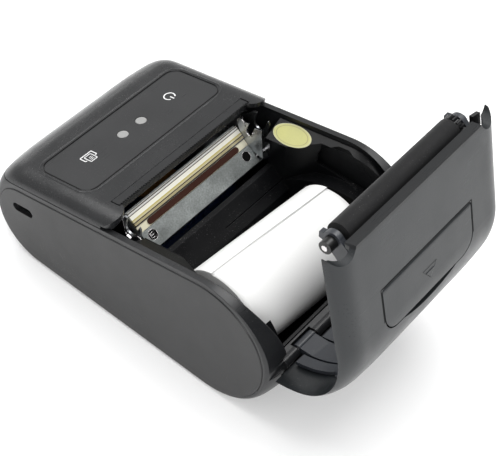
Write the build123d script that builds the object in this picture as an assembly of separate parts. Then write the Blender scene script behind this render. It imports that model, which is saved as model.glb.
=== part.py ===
from build123d import *
import math
import os

# Portable receipt printer for 57 mm paper, lid open.
# Millimetres. X runs across the printer, +Y to the lid's hinge, +Z up, origin at the
# middle of the flat base. Lid pieces are drawn closed and then swung open.

# Casing, seen from the side: flat side plate outline and how far the body swells past it.
# Its width follows from the paper roll; the belly is cut flat at Z = 0.
slope = 12.0
roll_width = 57.0
side_room = 13.7
plate_nose_y = -60.0
plate_tail_y = 59.1
plate_bottom_z = 1.5
plate_line_z = 30.9
chin_r = 18.0
nose_r = 12.0
tail_r = 24.5
heel_r = 24.0
case_half_width = roll_width / 2 + side_room
wall = 1.8
nose_swell = 5.0
tail_swell = 4.5
crown_swell = 7.3
belly_swell = 1.6
nose_edge = 0.9
tail_edge = 0.9
crown_edge = 2.1
belly_edge = 0.3
plan_flat = case_half_width - 22.2
crown_flat = case_half_width - 7.2
belly_flat = case_half_width - 4.2

# Seams
rim_offset = 2.0
seam_gap = 0.4
hood_end_y = -11.5
hood_ear_x = case_half_width - 4.9
hood_ear_r = 4.6
hood_ear_gap = 0.45
lid_front_y = -9.9
lid_front_lean = 0.7
lid_front_drop = 3.7

# Side plates and the charging slot
plate_face_x = case_half_width + 0.3
plate_seat_x = case_half_width - 1.0
plate_gap = 0.1
port_y = -48.6
port_z = 24.5
port_tilt = 10.0
port_slot_length = 9.7
port_slot_height = 3.7
port_shell_length = 8.9
port_shell_height = 3.1
port_depth = 7.3
port_cut_start = plate_seat_x - 3.2
port_cut_end = plate_face_x + 1.5

# Hinge of the lid
hinge_y = 60.7
hinge_z = 26.2
open_angle = 85.3
hinge_pin_r = 0.8
hinge_bore_gap = 0.04
knuckle_r = 2.0
rail_top = 1.6
rail_front_y = 57.6
rail_outer_end = case_half_width - 8.7
rail_outer_start = rail_outer_end - 6.8
lid_arm_end = rail_outer_start - 0.9
lid_arm_start = lid_arm_end - 8.1
rail_inner_end = lid_arm_start - 0.9
swing_r = 4.1
swing_half = case_half_width - 5.9
lid_end_z = 28.4
liner_end_z = 29.6
pin_start = rail_inner_end - 1.6
pin_end = rail_outer_end - 1.5

# Lid
lid_wall = 2.0
liner_gap = 0.3
liner_wall = 1.3
liner_half = case_half_width - 7.2
liner_front_y = -1.0
liner_tail_half = liner_half - 4.0
liner_tail_z = 45.0
liner_tail_y = 48.0
flap_top_y = 13.3
flap_bottom_y = 31.0
flap_half = case_half_width - 18.5
flap_corner_r = 7.0
flap_gap = 0.4
flap_pin_r = 0.5
flap_pin_length = 3.0
grip_half = 15.4
grip_bulge = 3.2
dish_depth = 4.6
dish_reach = 7.5
dish_wall = 1.2

# Platen
platen_y = -5.6
platen_z = 40.5
rubber_r = 4.2
rubber_half = roll_width / 2
shaft_r = 1.0
shaft_half = rubber_half + 7.1
bush_r = 2.2
bush_outer = rubber_half + 6.8
bush_near_start = rubber_half + 0.5
bush_far_start = rubber_half + 3.6
arm_near = (rubber_half + 1.5, rubber_half + 3.5)
arm_far = (-rubber_half - 5.7, -rubber_half - 3.7)
arm_boss_r = 3.3
run_gap = 0.04

# Print head, drawn in its own plane under the platen
nip_gap = 0.3
head_lean = 38.2
head_half = rubber_half + 0.3
strip_start = -4.4
strip_end = 1.3
strip_thick = 1.0
sink_start = -4.8
sink_land_start = 4.0
sink_end = 11.2
sink_back = 3.0
sink_hole_x = head_half - 3.7
sink_hole_u = 6.8
sink_hole_r = 1.9
potting_start = 1.5
potting_end = 3.7
potting_half = head_half - 4.8
head_pivot_u = 9.4
head_pivot_n = -1.9
head_pivot_r = 0.8
spring_x = 15.0
spring_u = -0.6
spring_r = 1.9
spring_wire = 0.35
spring_seat_n = -7.2

# Gear train
gear_module = 0.5
platen_teeth = 14
idler_teeth = 30
pinion_teeth = 12
gear_near_x = -rubber_half - 0.7
gear_far_x = -rubber_half - 3.3
train_angle = 205.5
mesh_gap = 0.12
tooth_play = 0.10
axle_r = 0.75

# Metal frame of the print mechanism
sheet = 0.8
cheek_near_x = rubber_half + 4.3
cheek_far_x = -rubber_half - 6.9
frame_floor_z = 24.0
frame_front_y = -16.5
frame_rear_y = 0.4
slot_gap = 0.15
motor_plate_x = -rubber_half - 0.1
motor_r = 7.5
motor_length = 15.0

# Paper well
roll_r = 17.5
roll_y = 33.7
roll_z = 22.0
roll_skew = 4.6
core_r = 6.5
core_bore_r = 5.6
well_r = 22.2
well_y = 34.0
well_z = 25.6
well_half = roll_width / 2 + 3.4
tub_wall = 1.2
ramp_y = 2.6
ramp_z = 28.9
shoulder_start_y = -0.6
shoulder_inner_x = well_half + 0.3
shoulder_inner_line = 26.2
shoulder_outer_x = case_half_width - 2.0
shoulder_outer_line = 30.6
shoulder_sheet = 1.8
tub_tail_gap = 0.5
flare_half = case_half_width - 4.7
flare_near_y = 15.9
flare_far_y = 8.7
flare_run = 11.0
flare_back_y = 46.0
flare_end_y = 52.6
ledge_y = 40.5
ledge_z = -9.7
ledge_r = 45.9
pocket_y = 31.0
pocket_z = 36.0
pocket_r = 13.0
pocket_depth = 1.3

# Keys and lamps in the top
panel_half = case_half_width - 7.2
panel_front_y = -47.4
panel_back_y = -23.5
panel_corner_r = 4.5
panel_depth = 0.6
overlay_thick = 0.5
overlay_gap = 0.1
lamp_x = 4.7
lamp_y = -36.0
lamp_r = 2.1
key_x = panel_half - 14.0
key_y = -36.7
key_r = 4.2
key_stem_r = 1.5
key_gap = 0.3
key_travel = 0.3
key_side_gap = 0.1
key_board_depth = 5.3
key_board_thick = 1.0
key_board_half = panel_half - 4.0
key_board_half_depth = 7.0
key_board_post_x = key_board_half - 3.0
key_board_post_y = key_board_half_depth - 1.8
switch_half = 3.0
switch_height = 1.0

# Boards, battery, fasteners
board_thick = 1.4
board_half = case_half_width - 9.2
board_post_x = board_half - 2.5
board_front = -9.0
board_back = 13.4
battery_half = case_half_width - 15.2
battery_front_y = -51.0
battery_back_y = -8.0
battery_bottom_z = 3.0
battery_top_z = 18.5
door_half = battery_half + 2.5
door_front_y = -44.0
door_back_y = -4.0
door_thick = 1.5
door_gap = 0.25
door_ledge = 2.0
boss_x = case_half_width - 5.3
boss_r = 2.6
boss_front_y = -30.0
boss_back_y = 34.0
boss_split_z = 20.0
screw_r = 1.1
screw_head_r = 2.1
screw_head_h = 1.5
tub_screw_y = 55.8
tub_ear_z = 28.4
sticker_x = 6.0 - case_half_width
sticker_y = 8.0
sticker_long = 8.3
sticker_short = 4.2
sticker_thick = 0.15
tear_half = case_half_width - 8.4
tear_blade = 0.6
tear_tip_y = -10.7
tear_pitch = 1.0

tilt = math.radians(slope)
far = 90.0


# Small helpers

def line_z(y, z0):
    return z0 + math.tan(tilt) * (y - plate_nose_y)


def side_plane(x=0.0):
    return Plane(origin=(x, 0, 0), x_dir=(0, 1, 0), z_dir=(1, 0, 0))


def side_extrude(face, x0, x1):
    return extrude(side_plane(x0) * face, x1 - x0, dir=(1, 0, 0))


def side_prism(points, x0, x1):
    return side_extrude(make_face(Polyline(*points, close=True)), x0, x1)


def rod(x0, x1, y, z, r):
    return Pos((x0 + x1) / 2, y, z) * Rot(0, 90, 0) * Cylinder(r, abs(x1 - x0))


def block(x0, x1, y0, y1, z0, z1):
    return Pos((x0 + x1) / 2, (y0 + y1) / 2, (z0 + z1) / 2) * Box(x1 - x0, y1 - y0, z1 - z0)


def both(shape):
    return shape + mirror(shape, Plane.YZ)


def opened(shape):
    return shape.rotate(Axis((0, hinge_y, hinge_z), (1, 0, 0)), -open_angle)


def crown_line(inset=0.0):
    return plate_line_z + (crown_swell - inset) / math.cos(tilt)


def top_plane(x, y):
    origin = (x, y, line_z(y, crown_line()))
    return Plane(origin=origin, x_dir=(1, 0, 0), z_dir=(0, -math.sin(tilt), math.cos(tilt)))


def screw(plane, length):
    head = plane * Pos(0, 0, screw_head_h / 2) * Cylinder(screw_head_r, screw_head_h)
    shank = plane * Pos(0, 0, -length / 2) * Cylinder(screw_r, length)
    cross = plane * Pos(0, 0, screw_head_h) * (Box(0.5, 2.4, 1.4) + Box(2.4, 0.5, 1.4))
    return head + shank - cross


# Casing body

def side_outline(front, rear, bottom, z0, r_chin, r_nose, r_tail, r_heel):
    nose = (front + r_nose, line_z(front + r_nose, z0) - r_nose / math.cos(tilt))
    tail = (rear - r_tail, line_z(rear - r_tail, z0) - r_tail / math.cos(tilt))
    up = (-math.sin(tilt), math.cos(tilt))
    start = (nose[0] + r_nose * up[0], nose[1] + r_nose * up[1])
    end = (tail[0] + r_tail * up[0], tail[1] + r_tail * up[1])
    return [
        Line(start, end),
        CenterArc(tail, r_tail, 90 + slope, -(90 + slope)),
        Line((rear, tail[1]), (rear, bottom + r_heel)),
        CenterArc((rear - r_heel, bottom + r_heel), r_heel, 0, -90),
        Line((rear - r_heel, bottom), (front + r_chin, bottom)),
        CenterArc((front + r_chin, bottom + r_chin), r_chin, -90, -90),
        Line((front, bottom + r_chin), (front, nose[1])),
        CenterArc(nose, r_nose, 180, -(90 - slope)),
    ]


def swell(x, flat, edge, full, half):
    if abs(x) <= flat:
        return full
    u = min(1.0, (abs(x) - flat) / (half - flat))
    return edge + (full - edge) * math.sqrt(1 - u * u)


def casing_section(x, inset):
    half = case_half_width - inset
    nose = swell(x, plan_flat, nose_edge, nose_swell, half)
    tail = swell(x, plan_flat, tail_edge, tail_swell, half)
    crown = swell(x, crown_flat - inset, crown_edge, crown_swell, half)
    belly = swell(x, belly_flat - inset, belly_edge, belly_swell, half)
    edges = side_outline(
        plate_nose_y - nose + inset, plate_tail_y + tail - inset, plate_bottom_z - belly + inset,
        plate_line_z + (crown - inset) / math.cos(tilt),
        chin_r + 0.3 * nose - inset, nose_r + 0.6 * crown - inset,
        tail_r + 0.93 * crown - inset, heel_r + belly - inset)
    return side_plane(x) * Face(Wire(edges))


def casing_body(inset):
    half = case_half_width - inset
    span = half - plan_flat
    flank = [plan_flat + span * s for s in (0, 0.3, 0.55, 0.75, 0.89, 0.97, 1)]
    stations = [-x for x in reversed(flank)] + [-0.5 * plan_flat, 0, 0.5 * plan_flat] + flank
    return loft([casing_section(x, inset) for x in stations])


def rim_region(offset, step_z):
    z0 = plate_line_z + offset / math.cos(tilt)
    rear = plate_tail_y + offset
    r = tail_r + offset
    cy = rear - r
    cz = line_z(cy, z0) - r / math.cos(tilt)
    top_end = (cy - r * math.sin(tilt), cz + r * math.cos(tilt))
    edges = [
        Line((-far, line_z(-far, z0)), top_end),
        CenterArc((cy, cz), r, 90 + slope, -(90 + slope)),
        Line((rear, cz), (rear, step_z)),
        Line((rear, step_z), (far, step_z)),
        Line((far, step_z), (far, -far)),
        Line((far, -far), (-far, -far)),
        Line((-far, -far), (-far, line_z(-far, z0))),
    ]
    return extrude(side_plane(0) * Face(Wire(edges)), far, both=True)


outer_body = casing_body(0.0)
inner_body = casing_body(wall)
seat_body = casing_body(wall + 0.3)
rim_step_z = hinge_z - 0.9


def plate_profile(offset):
    return side_outline(
        plate_nose_y - offset, plate_tail_y + offset, plate_bottom_z - offset,
        plate_line_z + offset / math.cos(tilt),
        chin_r + offset, nose_r + offset, tail_r + offset, heel_r + offset)


def port_plane(x):
    return Plane(
        origin=(x, port_y, port_z),
        x_dir=(0, math.cos(math.radians(port_tilt)), math.sin(math.radians(port_tilt))),
        z_dir=(1, 0, 0))


def port_prism(length, height, x0, x1):
    return extrude(port_plane(x0) * SlotOverall(length, height), x1 - x0)


def hinge_ring(outer_r, inner_r, x0, x1):
    ring = rod(x0, x1, hinge_y, hinge_z, outer_r)
    if inner_r > 0:
        ring -= rod(x0, x1, hinge_y, hinge_z, inner_r)
    return ring


def case_boss(x, y, top):
    return Pos(x, y, top / 2) * Cylinder(boss_r, top)


def lower_case():
    body = outer_body & block(-far, far, -far, far, 0, far)
    shell = (body - inner_body) & rim_region(rim_offset, rim_step_z)
    rail = block(0, rail_outer_end, rail_front_y, hinge_y, 10, hinge_z + rail_top)
    rail += rod(0, rail_outer_end, hinge_y, hinge_z, knuckle_r)
    rail &= outer_body
    for x, y, top in (
            (boss_x, boss_front_y, boss_split_z),
            (boss_x, boss_back_y, boss_split_z + 12),
            (boss_x, tub_screw_y, tub_ear_z - 1.5)):
        rail += case_boss(x, y, top) & outer_body
    shell += both(rail)
    for x, y in ((board_post_x, board_front + 3.0), (board_post_x, board_back - 3.0)):
        post = board_plane() * Pos(x, y, -15 - board_thick) * Cylinder(2.2, 30)
        shell += both(post & outer_body & block(-far, far, -far, far, 1, far))
        shell -= both(board_plane() * Pos(x, y, -6) * Cylinder(screw_r + 0.05, 12))
    sweep_zone = hinge_ring(swing_r, knuckle_r, -swing_half, swing_half)
    sweep_zone &= block(-far, far, hinge_y, far, -far, far)
    shell -= sweep_zone
    slot_start = rail_inner_end
    slot = block(slot_start, rail_outer_start, hinge_y - knuckle_r - 0.4, far,
                 hinge_z - knuckle_r - 0.6, far)
    shell -= both(slot)
    bore = rod(pin_start - 0.2, pin_end + 0.2, hinge_y, hinge_z, hinge_pin_r + hinge_bore_gap)
    shell -= both(bore)
    pocket = side_extrude(Face(Wire(plate_profile(plate_gap))), plate_seat_x, plate_face_x + 1)
    shell -= both(pocket)
    shell -= port_prism(port_slot_length, port_slot_height, port_cut_start, port_cut_end)
    for y in (boss_front_y, boss_back_y):
        hole = Pos(boss_x, y, 1.0) * Cylinder(screw_head_r + 0.3, 2.0)
        hole += Pos(boss_x, y, 8) * Cylinder(screw_r + 0.05, 14)
        shell -= both(hole)
    shell -= both(Pos(boss_x, tub_screw_y, 20) * Cylinder(screw_r + 0.05, 16))
    opening = door_outline(door_gap)
    through = door_outline(-door_ledge)
    shell -= extrude(opening, door_thick + 0.1)
    shell -= extrude(through, 2 * wall)
    return shell


def door_outline(offset):
    width = 2 * (door_half + offset)
    depth = door_back_y - door_front_y + 2 * offset
    middle = (door_back_y + door_front_y) / 2
    return Pos(0, middle, 0) * RectangleRounded(width, depth, 3 + offset)


def battery_door():
    plate = Pos(0, 0, 0.1) * extrude(door_outline(0), door_thick - 0.1)
    grip = Pos(0, door_back_y - 6, 0.1) * Sphere(6.0)
    grip &= block(-far, far, -far, far, 0, 0.9)
    return plate - grip


def panel_outline(offset):
    width = 2 * (panel_half + offset)
    depth = (panel_back_y - panel_front_y) / math.cos(tilt) + 2 * offset
    return RectangleRounded(width, depth, panel_corner_r + offset)


def panel_plane():
    return top_plane(0, (panel_front_y + panel_back_y) / 2)


def tall(plane, r, z0, z1):
    return plane * Pos(0, 0, (z0 + z1) / 2) * Cylinder(r, z1 - z0)


def hood_ear(grow):
    spot = Pos(hood_ear_x, hood_end_y, 40) * Cylinder(hood_ear_r + grow, 60)
    return both(spot)


def top_shell():
    shell = outer_body - inner_body - rim_region(rim_offset + seam_gap, rim_step_z)
    zone = block(-far, far, -far, hood_end_y, 0, far)
    ears = hood_ear(0) & block(-far, far, -far, far, line_z(hood_end_y, crown_line()) - 4, far)
    shell &= zone + ears
    apron = block(-34.0, 34.0, hood_end_y - 1.5, hood_end_y, 44.3, far) & inner_body
    shell += apron
    shell -= panel_plane() * Pos(0, 0, -panel_depth) * extrude(panel_outline(0), 2)
    board = top_plane(0, key_y)
    for x in (-key_board_post_x, key_board_post_x):
        for y in (-key_board_post_y, key_board_post_y):
            post = board * Pos(x, y, -(wall + key_board_depth) / 2)
            shell += post * Cylinder(1.8, key_board_depth - wall)
            shell -= post * Pos(0, 0, -1) * Cylinder(0.65, key_board_depth - wall)
    post = Pos(boss_x, boss_front_y, 32) * Cylinder(boss_r - 0.2, 2 * (32 - boss_split_z - 0.3))
    post &= casing_body(wall - 0.3)
    post -= Pos(boss_x, boss_front_y, 20) * Cylinder(screw_r + 0.05, 16)
    shell += both(post)
    for x in (-lamp_x, lamp_x):
        shell -= tall(top_plane(x, lamp_y), lamp_r + 0.1, -4, 2)
    for x in (-key_x, key_x):
        shell -= tall(top_plane(x, key_y), key_r + key_side_gap, -4, 2)
    blade = top_plane(0, hood_end_y)
    shell -= blade * Pos(0, -0.9, -tear_blade / 2 + 0.5) * Box(2 * tear_half + 0.4, 4.4, tear_blade + 1.1)
    return shell


def tear_bar():
    pitch = tear_pitch
    count = int(2 * tear_half / pitch)
    start = -count * pitch / 2
    root = 0.1
    tip = (tear_tip_y - hood_end_y) / math.cos(tilt)
    points = [(start, -2.9), (start, root)]
    for i in range(count):
        points.append((start + (i + 0.5) * pitch, tip))
        points.append((start + (i + 1) * pitch, root))
    points.append((start + count * pitch, -2.9))
    plane = top_plane(0, hood_end_y).offset(-tear_blade)
    return extrude(plane * make_face(Polyline(*points, close=True)), tear_blade - 0.05, dir=plane.z_dir)


def side_plate(side):
    plate = side_extrude(Face(Wire(plate_profile(0))), plate_seat_x, plate_face_x)
    plate = fillet(plate.faces().sort_by(Axis.X)[-1].edges(), 0.4)
    if side > 0:
        return plate - port_prism(port_slot_length, port_slot_height, port_cut_start, port_cut_end)
    return mirror(plate, Plane.YZ)


def panel_overlay():
    sheet_face = panel_outline(-overlay_gap)
    film = panel_plane() * Pos(0, 0, -panel_depth) * extrude(sheet_face, overlay_thick)
    for x in (-lamp_x, lamp_x):
        film -= tall(top_plane(x, lamp_y), lamp_r + 0.1, -2, 2)
    return film


def lamp(x):
    plane = top_plane(x, lamp_y)
    lens = tall(plane, lamp_r, -key_board_depth + 1.0, -0.1)
    lens = fillet(lens.edges().filter_by(GeomType.CIRCLE).sort_by(Axis.Z)[-1], 0.3)
    foot = tall(plane, lamp_r - 0.6, -key_board_depth, -key_board_depth + 1.0)
    return lens + foot


def key_board():
    board = top_plane(0, key_y) * Pos(0, 0, -key_board_depth - key_board_thick / 2)
    board = board * Box(2 * key_board_half, 2 * key_board_half_depth, key_board_thick)
    for x in (-key_board_post_x, key_board_post_x):
        for y in (-key_board_post_y, key_board_post_y):
            board -= top_plane(0, key_y) * Pos(x, y, -key_board_depth) * Cylinder(0.75, 4)
    return board


def tact_switches():
    pair = None
    for x in (-key_x, key_x):
        plane = top_plane(x, key_y)
        body = plane * Pos(0, 0, -key_board_depth + switch_height / 2)
        body = body * Box(2 * switch_half, 2 * switch_half, switch_height)
        stem_top = -panel_depth + overlay_thick - overlay_thick - key_gap - key_length() - key_travel - 0.05
        body += tall(plane, 1.2, -key_board_depth + switch_height, stem_top)
        pair = body if pair is None else pair + body
    return pair


def key_length():
    return 2.6


def key(x):
    plane = top_plane(x, key_y)
    top = -panel_depth - key_gap
    flange_top = -wall - key_gap
    cap = tall(plane, key_r, flange_top - 0.5, top)
    collar = tall(plane, key_r + 1.0, flange_top - 0.5, flange_top)
    stem = tall(plane, key_stem_r, top - key_length(), flange_top - 0.5)
    return cap + collar + stem


def key_board_screws():
    group = None
    for x in (-key_board_post_x, key_board_post_x):
        for y in (-key_board_post_y, key_board_post_y):
            head = top_plane(0, key_y) * Pos(x, y, -key_board_depth - key_board_thick) * Rot(180, 0, 0)
            item = head * Pos(0, 0, 0.4) * Cylinder(1.4, 0.8)
            item += head * Pos(0, 0, -1.5) * Cylinder(0.6, 3.0)
            group = item if group is None else group + item
    return group


def board_plane():
    lift = port_shell_height / 2 + 0.35
    angle = math.radians(port_tilt)
    origin = (0, port_y + lift * math.sin(angle), port_z - lift * math.cos(angle))
    return Plane(origin=origin, x_dir=(1, 0, 0), z_dir=(0, -math.sin(angle), math.cos(angle)))


def main_board():
    middle = (board_front + board_back) / 2
    board = board_plane() * Pos(0, middle, -board_thick / 2)
    board = board * Box(2 * board_half, board_back - board_front, board_thick)
    for x in (-board_post_x, board_post_x):
        for y in (board_front + 3.0, board_back - 3.0):
            board -= board_plane() * Pos(x, y, 0) * Cylinder(screw_r + 0.2, 6)
    return board


def board_parts():
    plane = board_plane()
    chip = plane * Pos(-8, 3, 0.75) * Box(12, 12, 1.5)
    radio = plane * Pos(14, 2, 1.0) * Box(12, 10, 2.0)
    connector = plane * Pos(6, board_back - 2.2, 1.1) * Box(22, 3.6, 2.2)
    coil = plane * Pos(-22, 4, 1.5) * Cylinder(3, 3)
    return chip + radio + connector + coil


def board_screws():
    group = None
    for x in (-board_post_x, board_post_x):
        for y in (board_front + 3.0, board_back - 3.0):
            item = screw(at(board_plane(), x, y), 5)
            group = item if group is None else group + item
    return group


def at(plane, x, y):
    origin = plane.from_local_coords((x, y, 0))
    return Plane(origin=origin, x_dir=plane.x_dir, z_dir=plane.z_dir)


def usb_port():
    start = board_half - 1.0
    shell = port_prism(port_shell_length, port_shell_height, start, start + port_depth)
    hollow = port_prism(port_shell_length - 0.7, port_shell_height - 0.7, start + 1.2, far)
    tongue = port_plane(start + 1.2) * Pos(0, 0, 2.4) * Box(5.6, 0.7, 4.8)
    shell = shell - hollow + tongue
    feet = board_plane() * Pos(start + 3, 0, 0.2) * Box(5, 7, 0.4)
    return shell + feet


def battery_pack():
    box = block(-battery_half, battery_half, battery_front_y, battery_back_y, battery_bottom_z, battery_top_z)
    return fillet(box.edges().filter_by(Axis.X), 2.0)


def case_screws():
    group = None
    for x in (-boss_x, boss_x):
        for y, length in ((boss_front_y, 13.0), (boss_back_y, 12.0)):
            plane = Plane(origin=(x, y, 2.0), x_dir=(1, 0, 0), z_dir=(0, 0, -1))
            item = screw(plane, length)
            group = item if group is None else group + item
    return group


# Paper well

def roof_section(x, z0):
    rear = plate_tail_y - tub_tail_gap
    drop = (plate_line_z - z0) * math.cos(tilt)
    edges = side_outline(plate_nose_y, rear, 1.0, z0, chin_r, 6.0, tail_r - drop, heel_r)
    return side_plane(x) * Face(Wire(edges))


def roof(drop=0.0):
    inner = roof_section(shoulder_inner_x, shoulder_inner_line - drop)
    outer = roof_section(shoulder_outer_x, shoulder_outer_line - drop)
    middle = extrude(roof_section(0, shoulder_inner_line - drop), shoulder_inner_x, both=True)
    return middle + both(loft([inner, outer], ruled=True))


def well_profile(grow, top):
    lean = math.radians(head_lean)
    along = (math.cos(lean), -math.sin(lean))
    up = (math.sin(lean), math.cos(lean))
    r = well_r + grow
    start = (ramp_y - grow * up[0], ramp_z - grow * up[1])
    reach = (well_y - start[0]) * along[0] + (well_z - start[1]) * along[1]
    off = (well_y - start[0]) * up[0] + (well_z - start[1]) * up[1]
    s = reach - math.sqrt(r * r - off * off)
    join = (start[0] + s * along[0], start[1] + s * along[1])
    bottom = (well_y, well_z - r)
    back = (well_y + r, well_z)
    edges = [
        Line(start, join),
        ThreePointArc(join, (well_y - r * math.sin(math.radians(35)), well_z - r * math.cos(math.radians(35))), bottom),
        ThreePointArc(bottom, (well_y + r * math.sin(math.radians(45)), well_z - r * math.cos(math.radians(45))), back),
        Line(back, (back[0], top)),
        Line((back[0], top), (start[0], top)),
        Line((start[0], top), start),
    ]
    return Face(Wire(edges))


def flare_prism(start_y, grow):
    points = [
        (0, start_y - grow), (well_half, start_y - grow),
        (flare_half + grow, start_y + flare_run - grow),
        (flare_half + grow, flare_back_y + grow),
        (well_half + 2.6 + grow, flare_end_y + grow), (0, flare_end_y + grow)]
    prism = extrude(make_face(Polyline(*points, close=True)), far, dir=(0, 0, 1))
    return prism - rod(-1, 60, ledge_y, ledge_z, ledge_r - grow)


def paper_tub():
    grow = tub_wall
    near = flare_prism(flare_near_y, grow)
    distant = mirror(flare_prism(flare_far_y, grow), Plane.YZ)
    well = extrude(side_plane(0) * well_profile(grow, 70), well_half + grow, both=True)
    shoulders = roof() - roof(shoulder_sheet)
    keep = block(well_half, far, shoulder_start_y, rail_front_y - 0.4, 0, far)
    keep = keep - Pos(boss_x, boss_back_y, 10) * Cylinder(boss_r + 0.3, 20)
    shoulders &= both(keep)
    outer = (well + near + distant) & roof() & block(-far, far, -far, rail_front_y - 0.4, 0, far)
    outer -= block(-well_half - 0.01, well_half + 0.01, -far, far, hinge_z + rail_top, far)
    ear = Pos(boss_x, tub_screw_y, tub_ear_z - 0.7) * Cylinder(3.1, 1.4)
    tie = block(well_half + grow - 0.6, boss_x, tub_screw_y - 3.0, tub_screw_y + 1.3, tub_ear_z - 1.4, tub_ear_z)
    tub = outer + shoulders + both((ear + tie) & block(-far, far, -far, rail_front_y + 1.2, 0, far))
    tub &= seat_body
    tub -= extrude(side_plane(0) * well_profile(0, 80), well_half, both=True)
    tub -= flare_prism(flare_near_y, 0)
    tub -= mirror(flare_prism(flare_far_y, 0), Plane.YZ)
    scoop = rod(flare_half - 0.2, flare_half + pocket_depth, pocket_y, pocket_z, pocket_r)
    scoop &= block(0, far, -far, far, pocket_z, far)
    tub -= both(scoop)
    tub -= both(Pos(boss_x, tub_screw_y, 28) * Cylinder(screw_r + 0.1, 8))
    return tub


def tub_screws():
    group = None
    for x in (-boss_x, boss_x):
        plane = Plane(origin=(x, tub_screw_y, tub_ear_z), x_dir=(1, 0, 0), z_dir=(0, 0, 1))
        item = screw(plane, 10)
        group = item if group is None else group + item
    return group


def inspection_sticker():
    rise = shoulder_outer_line - shoulder_inner_line
    run = shoulder_outer_x - shoulder_inner_x
    share = (abs(sticker_x) - shoulder_inner_x) / run
    z = line_z(sticker_y, shoulder_inner_line + share * rise)
    across = Vector(-run, 0, rise).normalized()
    along = Vector(0, math.cos(tilt), math.sin(tilt))
    up = along.cross(across).normalized()
    if up.Z < 0:
        up = up * -1
    plane = Plane(origin=Vector(sticker_x, sticker_y, z) + up * 0.02, x_dir=along, z_dir=up)
    return extrude(plane * Ellipse(sticker_long, sticker_short), sticker_thick)


# Paper roll

def roll_axis():
    a = math.radians(roll_skew)
    return Plane(origin=(0, roll_y, roll_z), x_dir=(0, 0, 1), z_dir=(math.cos(a), -math.sin(a), 0))


def paper_roll():
    roll = roll_axis() * Cylinder(roll_r, roll_width)
    return roll - roll_axis() * Cylinder(core_r + 0.03, roll_width + 2)


def paper_core():
    return roll_axis() * (Cylinder(core_r, roll_width) - Cylinder(core_bore_r, roll_width + 2))


# Print head: local x across, y down the slope, z towards the platen

lean = math.radians(head_lean)
head_up = (0, math.sin(lean), math.cos(lean))
head_reach = rubber_r + nip_gap
head_plane = Plane(
    origin=(0, platen_y - head_reach * head_up[1], platen_z - head_reach * head_up[2]),
    x_dir=(1, 0, 0), z_dir=head_up)


def head_box(x0, x1, u0, u1, n0, n1):
    return head_plane * Pos((x0 + x1) / 2, (u0 + u1) / 2, (n0 + n1) / 2) * Box(x1 - x0, u1 - u0, n1 - n0)


def head_point(u, n):
    p = head_plane.from_local_coords((0, u, n))
    return (p.Y, p.Z)


def heat_sink():
    sink = head_box(-head_half, head_half, sink_start, sink_end, -sink_back, -strip_thick)
    sink += head_box(-head_half, head_half, sink_land_start, sink_end, -sink_back, -0.2)
    for x in (-sink_hole_x, sink_hole_x):
        sink -= head_plane * Pos(x, sink_hole_u, 0) * Cylinder(sink_hole_r, 4.0)
    for x in (-12, 0, 12):
        sink -= head_box(x - 4, x + 4, sink_start + 2, sink_land_start, -sink_back - 1, -sink_back + 0.7)
    pivot = head_point(head_pivot_u, head_pivot_n)
    sink -= rod(-40, 40, pivot[0], pivot[1], head_pivot_r + run_gap)
    return sink


def thermal_head():
    return head_box(-head_half, head_half, strip_start, strip_end, -strip_thick, 0)


def head_circuit():
    return head_box(-head_half, head_half, strip_end + 0.05, sink_land_start - 0.1, -strip_thick, -0.5)


def driver_potting():
    middle = (potting_start + potting_end) / 2
    shape = SlotOverall(2 * potting_half, potting_end - potting_start)
    return extrude(head_plane * Pos(0, middle, -0.5) * shape, 0.55)


def head_pivot():
    pivot = head_point(head_pivot_u, head_pivot_n)
    return rod(cheek_far_x - 0.6, cheek_near_x + sheet + 0.6, pivot[0], pivot[1], head_pivot_r)


def head_springs():
    length = -sink_back - nip_gap - spring_seat_n - 2 * spring_wire
    pair = None
    for x in (-spring_x, spring_x):
        path = Edge.make_helix(length / 4, length, spring_r - spring_wire)
        start = Plane(origin=path @ 0, z_dir=path % 0)
        coil = sweep(start * Circle(spring_wire), path=path)
        coil = head_plane * Pos(x, spring_u, spring_seat_n + spring_wire) * coil
        pair = coil if pair is None else pair + coil
    return pair


def cheek(x):
    slot_dir = Vector(0, hinge_z - platen_z, platen_y - hinge_y)
    out = Vector(0, platen_z - hinge_z, hinge_y - platen_y).normalized()
    side = Vector(0, out.Z, -out.Y)
    points = [
        (-25.5, frame_floor_z), (-2.4, frame_floor_z), (frame_rear_y, 27.4), (frame_rear_y, 33.0),
        (-1.3, 36.0), (-1.3, 43.2), (-2.6, 45.0), (-8.7, 45.0), (-10.8, 42.6), (-25.5, 41.4)]
    plate = side_prism(points, x, x + sheet)
    r = bush_r + slot_gap
    plate -= rod(x - 1, x + sheet + 1, platen_y, platen_z, r)
    p = Vector(0, platen_y, platen_z)
    corners = [p - side * r, p + side * r, p + side * (r + 0.7) + out * 8, p - side * (r + 0.7) + out * 8]
    plate -= side_prism([(c.Y, c.Z) for c in corners], x - 1, x + sheet + 1)
    pivot = head_point(head_pivot_u, head_pivot_n)
    plate -= rod(x - 1, x + sheet + 1, pivot[0], pivot[1], head_pivot_r + 0.03)
    return plate


def train_point(centre, distance):
    a = math.radians(train_angle)
    return (centre[0] + distance * math.cos(a), centre[1] + distance * math.sin(a))


idler_centre = train_point((platen_y, platen_z), gear_module * (platen_teeth + idler_teeth) / 2 + mesh_gap)
pinion_centre = train_point(idler_centre, gear_module * (idler_teeth + pinion_teeth) / 2 + mesh_gap)


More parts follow.
